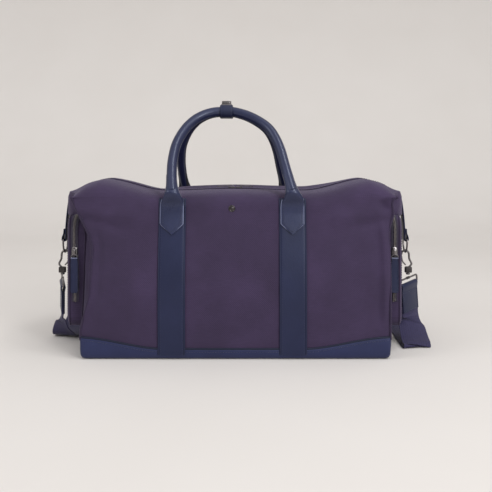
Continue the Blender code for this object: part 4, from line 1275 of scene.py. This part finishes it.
def pocket_slider(sign, hand):
    """The pocket zip's slider, and the link and leather tab that swing on it."""
    x, y, z = sign * POCKET_ZIP_X, -POCKET_HALF - 0.0021, 0.168
    body = frustum(f"{hand}_pocket_slider_cap", (x, y, z), (0, 0, 1), (1, 0, 0), (0, -1, 0),
                   [(0.0000, 0.0072, 0.0042, 0), (0.0006, 0.0079, 0.0049, 0), (0.0018, 0.0079, 0.0049, 0),
                    (0.0026, 0.0070, 0.0040, 0)])
    settle(body, f"{hand}_pocket_slider", "gunmetal", f"{hand}_pocket_slider")
    bow = catmull([(x, y - 0.0018, z + 0.0052), (x, y - 0.0046, z + 0.0036), (x, y - 0.0052, z - 0.0010),
                   (x, y - 0.0044, z - 0.0052), (x, y - 0.0016, z - 0.0068)], 6)
    bridge = sweep(f"{hand}_pocket_slider_bridge", bow, rounded(0.0030, 0.0011, 0.0004, 2), gunmetal,
                   wide=(1, 0, 0))
    settle(bridge, f"{hand}_pocket_slider", "gunmetal")
    ring_c = np.array((x, y - 0.0042, z - 0.0078))
    t = np.linspace(0, 2 * np.pi, 28, endpoint=False)
    ring = np.stack([ring_c[0] + 0.0052 * np.cos(t), ring_c[1] + 0 * t, ring_c[2] + 0.0036 * np.sin(t)],
                    axis=1)
    metal_wire(f"{hand}_pocket_pull_link", ring, 0.0007, 8, f"{hand}_pocket_pull", closed=True)
    top, low = 0.1578, 0.1002
    py = y - 0.0042
    grid = np.empty((15, 44, 3))
    for i, a in enumerate(np.linspace(-1, 1, 15)):
        zz = np.linspace(top, low, 44)
        taper = 0.0061 - 0.0010 * smooth((zz - 0.148) / 0.008) - 0.0016 * smooth((0.1035 - zz) / 0.0032) ** 2
        edge = 0.0003 * a * a
        grid[i] = np.stack([x + a * taper, py - 0.0013 + edge + 0.0009 * np.sin((zz - low) * 50), zz], axis=1)
    pull = shell(f"{hand}_pocket_pull_tab", grid, 0.0024, leather, (0, -1, 0), 60)
    settle(pull, f"{hand}_pocket_pull", "leather", f"{hand}_pocket_pull")
    outline = ((-1, 0.1540), (-1, 0.1040), (-0.7, 0.1022), (0.7, 0.1022), (1, 0.1040), (1, 0.1540))
    path = [(x + a * 0.0050, py - 0.0013 + 0.0009 * math.sin((b - low) * 50) - 0.0001, b) for a, b in outline]
    sew(f"{hand}_pocket_pull_stitches", path, 0.0032, (0.0023, 0.0006), (0, -1, 0), f"{hand}_pocket_pull")
    bar = [(x - 0.0052, py, 0.1574), (x, py - 0.0004, 0.1574), (x + 0.0052, py, 0.1574)]
    # The pull's top edge in the pale edge colour: edge paint and painted highlight.
    edge = sweep(f"{hand}_pocket_pull_edge", bar, rounded(0.0018, 0.0036, 0.0006, 2), edge_paint_and_highlight,
                 wide=(0, 0, 1))
    settle(edge, f"{hand}_pocket_pull", "leather")


for side, word in SIDES:
    tape_and_teeth(side, word)
main_sliders()
for sign, hand in ENDS:
    pocket(sign, hand)
    pocket_zip(sign, hand)
    pocket_slider(sign, hand)


# ---------------------------------------------------------------- strap hardware

LOOP_WIDE = {"right": (0.72, 0.68, 0.12), "left": (-0.30, 0.945, 0.10)}
WIRE = 0.0016


def unit(v):
    v = np.array(v, float)
    return v / np.linalg.norm(v)


def loop_frame(hand, sign):
    """The strap loop's middle, and its wide, normal and down directions."""
    wide = unit(LOOP_WIDE[hand])
    normal = unit(np.cross(wide, (0, 0, 1)))
    down = unit(np.cross(normal, wide))
    if down[2] > 0:
        down = -down
    top = np.array((sign * (RING_X + HOOK_LEAN), 0,
                    0.1295 - WIRE - 0.0003 - 0.0002 - 0.0114 - 0.0003 - WIRE - 0.0034))
    return top + down * LOOP_HALF, wide, normal, down


def ring_tab(sign, hand):
    tab = [(0.2890, 0.2572), (0.2925, 0.2510), (0.2946, 0.2400), (0.2972, 0.2180), (0.2990, 0.1950),
           (0.2990, 0.1860)]
    tab += arc((RING_X, RING_BAR_Z + 0.0001), 0.0031, 180, 360, 12)
    tab += [(RING_X + 0.0026, 0.1845), (RING_X + 0.0004, 0.1900), (RING_X - 0.0004, 0.1985)]
    path = [(sign * a, 0, b) for a, b in catmull([(a, b, 0) for a, b in tab], 2)[:, :2]]
    obj = sweep(f"{hand}_ring_tab_leather", path, rounded(0.0236, 0.0020, 0.0008), leather, wide=(0, 1, 0))
    settle(obj, "bag", "leather", f"{hand}_ring_tab")
    for k, word in SIDES:
        line = [(sign * (a + 0.0011), k * 0.0098, b) for a, b in tab[1:5]]
        sew(f"{hand}_ring_tab_stitches_{word}", catmull(line, 6), 0.0036, (0.0026, 0.0006), (sign, 0, 0.1))


def d_ring(sign, hand):
    half = RING_HALF
    turn = [math.radians(t) for t in range(180, 361, 6)]
    points = [(half * math.cos(t), (half + 0.003) * math.sin(t) - 0.0050) for t in turn]
    bar = [(half - 0.0004, -0.0012), (half - 0.0018, 0), (half - 0.006, 0)]
    points += bar + [(0, 0)] + [(-y, z) for y, z in reversed(bar)]
    path = [(sign * RING_X, y, RING_BAR_Z + z) for y, z in points]
    node = f"{hand}_d_ring"
    metal_wire(f"{hand}_d_ring_wire", path, WIRE, 14, node, node, wide=(1, 0, 0), closed=True)


def hook(sign, hand):
    """The spring hook with all that swings with it, and where the webbing starts from."""
    ring_low = RING_BAR_Z - 0.0050 - RING_HALF - 0.003
    hook_top = ring_low + WIRE * 2 + 0.0003
    foot = ring_low - 0.0270
    keys = [(HOOK_LEAN + 0.0016, foot), (HOOK_LEAN + 0.0062, foot + 0.0060), (0.0074, foot + 0.0150),
            (0.0062, hook_top - 0.0052), (0.0010, hook_top), (-0.0048, hook_top - 0.0030),
            (-0.0070, hook_top - 0.0090)]
    path = [(sign * (RING_X + a), 0, b) for a, b in keys]
    line = catmull(path, 10)
    grow = 1.0 + 0.12 * np.sin(np.linspace(0, np.pi, len(line)))
    body = f"{hand}_hook"
    metal_wire(f"{hand}_hook_wire", line, WIRE, 14, body, body, wide=(0, 1, 0), scale=grow)
    gate = [(-0.0064, hook_top - 0.0108), (-0.0060, hook_top - 0.0134), (-0.0044, foot + 0.0100),
            (HOOK_LEAN - 0.0042, foot + 0.0040)]
    line = catmull([(sign * (RING_X + a), 0, b) for a, b in gate], 6)
    metal_wire(f"{hand}_gate_wire", line, 0.0013, 12, f"{hand}_gate", f"{hand}_hook_gate", wide=(0, 1, 0))
    x = sign * (RING_X + HOOK_LEAN)
    block = ((0.0012, 0.0040, 0.0030), (0.0004, 0.0060, 0.0040), (-0.0015, 0.0063, 0.0043),
             (-0.0088, 0.0063, 0.0043), (-0.0094, 0.0054, 0.0036))
    loops = [superloop((x + sign * 0.0004, 0, foot + z), a, b, 4.5, 28) for z, a, b in block]
    obj = loft(f"{hand}_hook_collar", loops, gunmetal_dark, flat_angle=40)
    settle(obj, body, "gunmetal", f"{hand}_swivel")
    stem = [[(x + a, b, foot + z) for a, b in arc((0, 0), r, 0, 340, 17)]
            for z, r in ((-0.0090, 0.0024), (-0.0102, 0.0024), (-0.0106, 0.0036), (-0.0122, 0.0038),
                         (-0.0130, 0.0026))]
    settle(loft(f"{hand}_hook_stem", stem, gunmetal, flat_angle=35), body, "gunmetal")
    middle, wide, normal, down = loop_frame(hand, sign)
    corners = round_box(WEB_WIDTH / 2 + 0.0036, LOOP_HALF, 0.003, 0.003, 6)
    path = np.array([middle + wide * a - down * b for a, b in corners])
    metal_wire(f"{hand}_strap_loop_wire", path, WIRE, 12, body, f"{hand}_strap_loop", wide=normal,
               closed=True)
    for k in (-1, 1):
        path = [middle - down * LOOP_HALF + wide * (k * a) for a in (0.0005, 0.0020, 0.0036)]
        tag = "out" if k * sign > 0 else "in"
        metal_wire(f"{hand}_loop_collar_{tag}", path, 0.0024, 14, body, wide=normal)
    bar = middle + down * LOOP_HALF
    fold = [(a, -b) for a, b in arc((0, 0), 0.0034, 190, -10, 14)]
    run = [(-0.0016, 0.0476), (-0.0017, 0.0090)] + fold + [(0.0017, 0.0090), (0.0016, 0.0476)]
    path = np.array([bar + normal * a + down * b for a, b in run])
    fine = np.concatenate([np.linspace(path[0], path[1], 12)[:-1], path[1:-1],
                           np.linspace(path[-2], path[-1], 12)])
    obj = sweep(f"{hand}_strap_leather", fine, rounded(WEB_WIDTH - 0.001, 0.0020, 0.0008, 3), leather,
                wide=wide)
    settle(obj, body, "leather", f"{hand}_strap_end")
    hem = WEB_WIDTH / 2 - 0.0036

    def seam(tag, face, places):
        path = [bar + normal * (face * 0.0029) + wide * a + down * b for a, b in places]
        sew(f"{hand}_strap_leather_{tag}", path, 0.0038, STITCH, normal * face, body)

    for n, k in enumerate((-1, 1)):
        for m, face in enumerate((-1, 1)):
            seam(f"stitches_{n}{m}", face, [(k * hem, b) for b in np.linspace(0.008, 0.0455, 16)])
    for m, face in enumerate((-1, 1)):
        for n, b in enumerate((0.0455, 0.0120)):
            seam(f"cross_{m}{n}", face, [(a, b) for a in np.linspace(-hem, hem, 12)])
    return bar, wide, down


STRAP_ROUTE = [
    ((0.3128, 0.0020, 0.0320), (0.85, 0.50, 0.10)), ((0.3120, -0.0140, 0.0225), (0.90, 0.40, 0.10)),
    ((0.3110, -0.0330, 0.0130), (0.94, 0.32, 0.11)), ((0.3100, -0.0490, 0.0076), (0.95, 0.30, 0.10)),
    ((0.3095, -0.0535, 0.0038), (0.98, 0.20, 0.05)),
    ((0.3095, -0.0420, 0.0014), (1.0, 0.08, 0.0)), ((0.3105, 0.0000, 0.0013), (1.0, -0.03, 0.0)),
    ((0.3130, 0.0600, 0.0020), (1.0, -0.03, 0.05)), ((0.3120, 0.0980, 0.0070), (0.93, 0.10, 0.30)),
    ((0.3020, 0.1340, 0.0165), (0.66, 0.25, 0.70)), ((0.2780, 0.1640, 0.0235), (0.25, 0.18, 0.95)),
    ((0.2400, 0.1800, 0.0245), (0.0, 0.02, 1.0)), ((0.1700, 0.1830, 0.0245), (0.0, 0.0, 1.0)),
    ((0.0800, 0.1760, 0.0245), (0.0, 0.0, 1.0)), ((-0.0200, 0.1700, 0.0245), (0.0, 0.0, 1.0)),
    ((-0.1200, 0.1760, 0.0245), (0.0, 0.0, 1.0)), ((-0.2000, 0.1820, 0.0245), (0.0, 0.0, 1.0)),
    ((-0.2560, 0.1770, 0.0240), (-0.08, 0.05, 1.0)), ((-0.2880, 0.1560, 0.0200), (-0.35, 0.20, 0.92)),
    ((-0.3020, 0.1240, 0.0110), (-0.80, 0.20, 0.55)), ((-0.3060, 0.0900, 0.0036), (-0.98, 0.05, 0.12)),
    ((-0.3060, 0.0500, 0.0016), (-1.0, 0.02, 0.0)), ((-0.3070, 0.0180, 0.0060), (-0.97, 0.22, 0.02)),
    ((-0.3090, 0.0060, 0.0260), (-0.65, 0.72, 0.05))]


def shoulder_strap(ends):
    """The webbing from the right strap end down to the floor, round behind the bag and up to the left end."""
    def sewn_in(hand):
        """The webbing's last points at one end, from inside the leather outwards."""
        bar, wide, down = ends[hand]
        at = bar + down * 0.0486
        return [(at - down * 0.012, wide), (at, wide), (at + down * 0.010, wide)]

    keys = sewn_in("right") + [(np.array(p), np.array(w)) for p, w in STRAP_ROUTE] + sewn_in("left")[::-1]
    middles = catmull([k[0] for k in keys], 8)
    wides = catmull([k[1] for k in keys], 8)
    run = unit_rows(np.gradient(middles, axis=0))
    wides = unit_rows(wides - run * np.sum(wides * run, axis=1, keepdims=True))
    normal = np.cross(run, wides)
    reach = WEB_WIDTH / 2 * np.abs(wides[:, 2]) + WEB_THICK / 2 * np.abs(normal[:, 2])
    middles[:, 2] += np.maximum(0, 0.0004 - (middles[:, 2] - reach))        # kept above the floor
    shape = rounded(WEB_WIDTH, WEB_THICK, 0.0007)
    obj = sweep("shoulder_strap_webbing", middles, shape, webbing, wide=wides)
    layer = obj.data.uv_layers.active.data
    along = lengths(middles)
    for loop in obj.data.loops:
        station, place = divmod(loop.vertex_index, len(shape))
        layer[loop.index].uv = (shape[place][0], along[station])
    settle(obj, "bag", "webbing", "shoulder_strap")
    return obj, middles, float(along[-1])


strap_ends = {}
for sign, hand in ENDS:
    ring_tab(sign, hand)
    d_ring(sign, hand)
    strap_ends[hand] = hook(sign, hand)
strap, strap_line, strap_length = shoulder_strap(strap_ends)
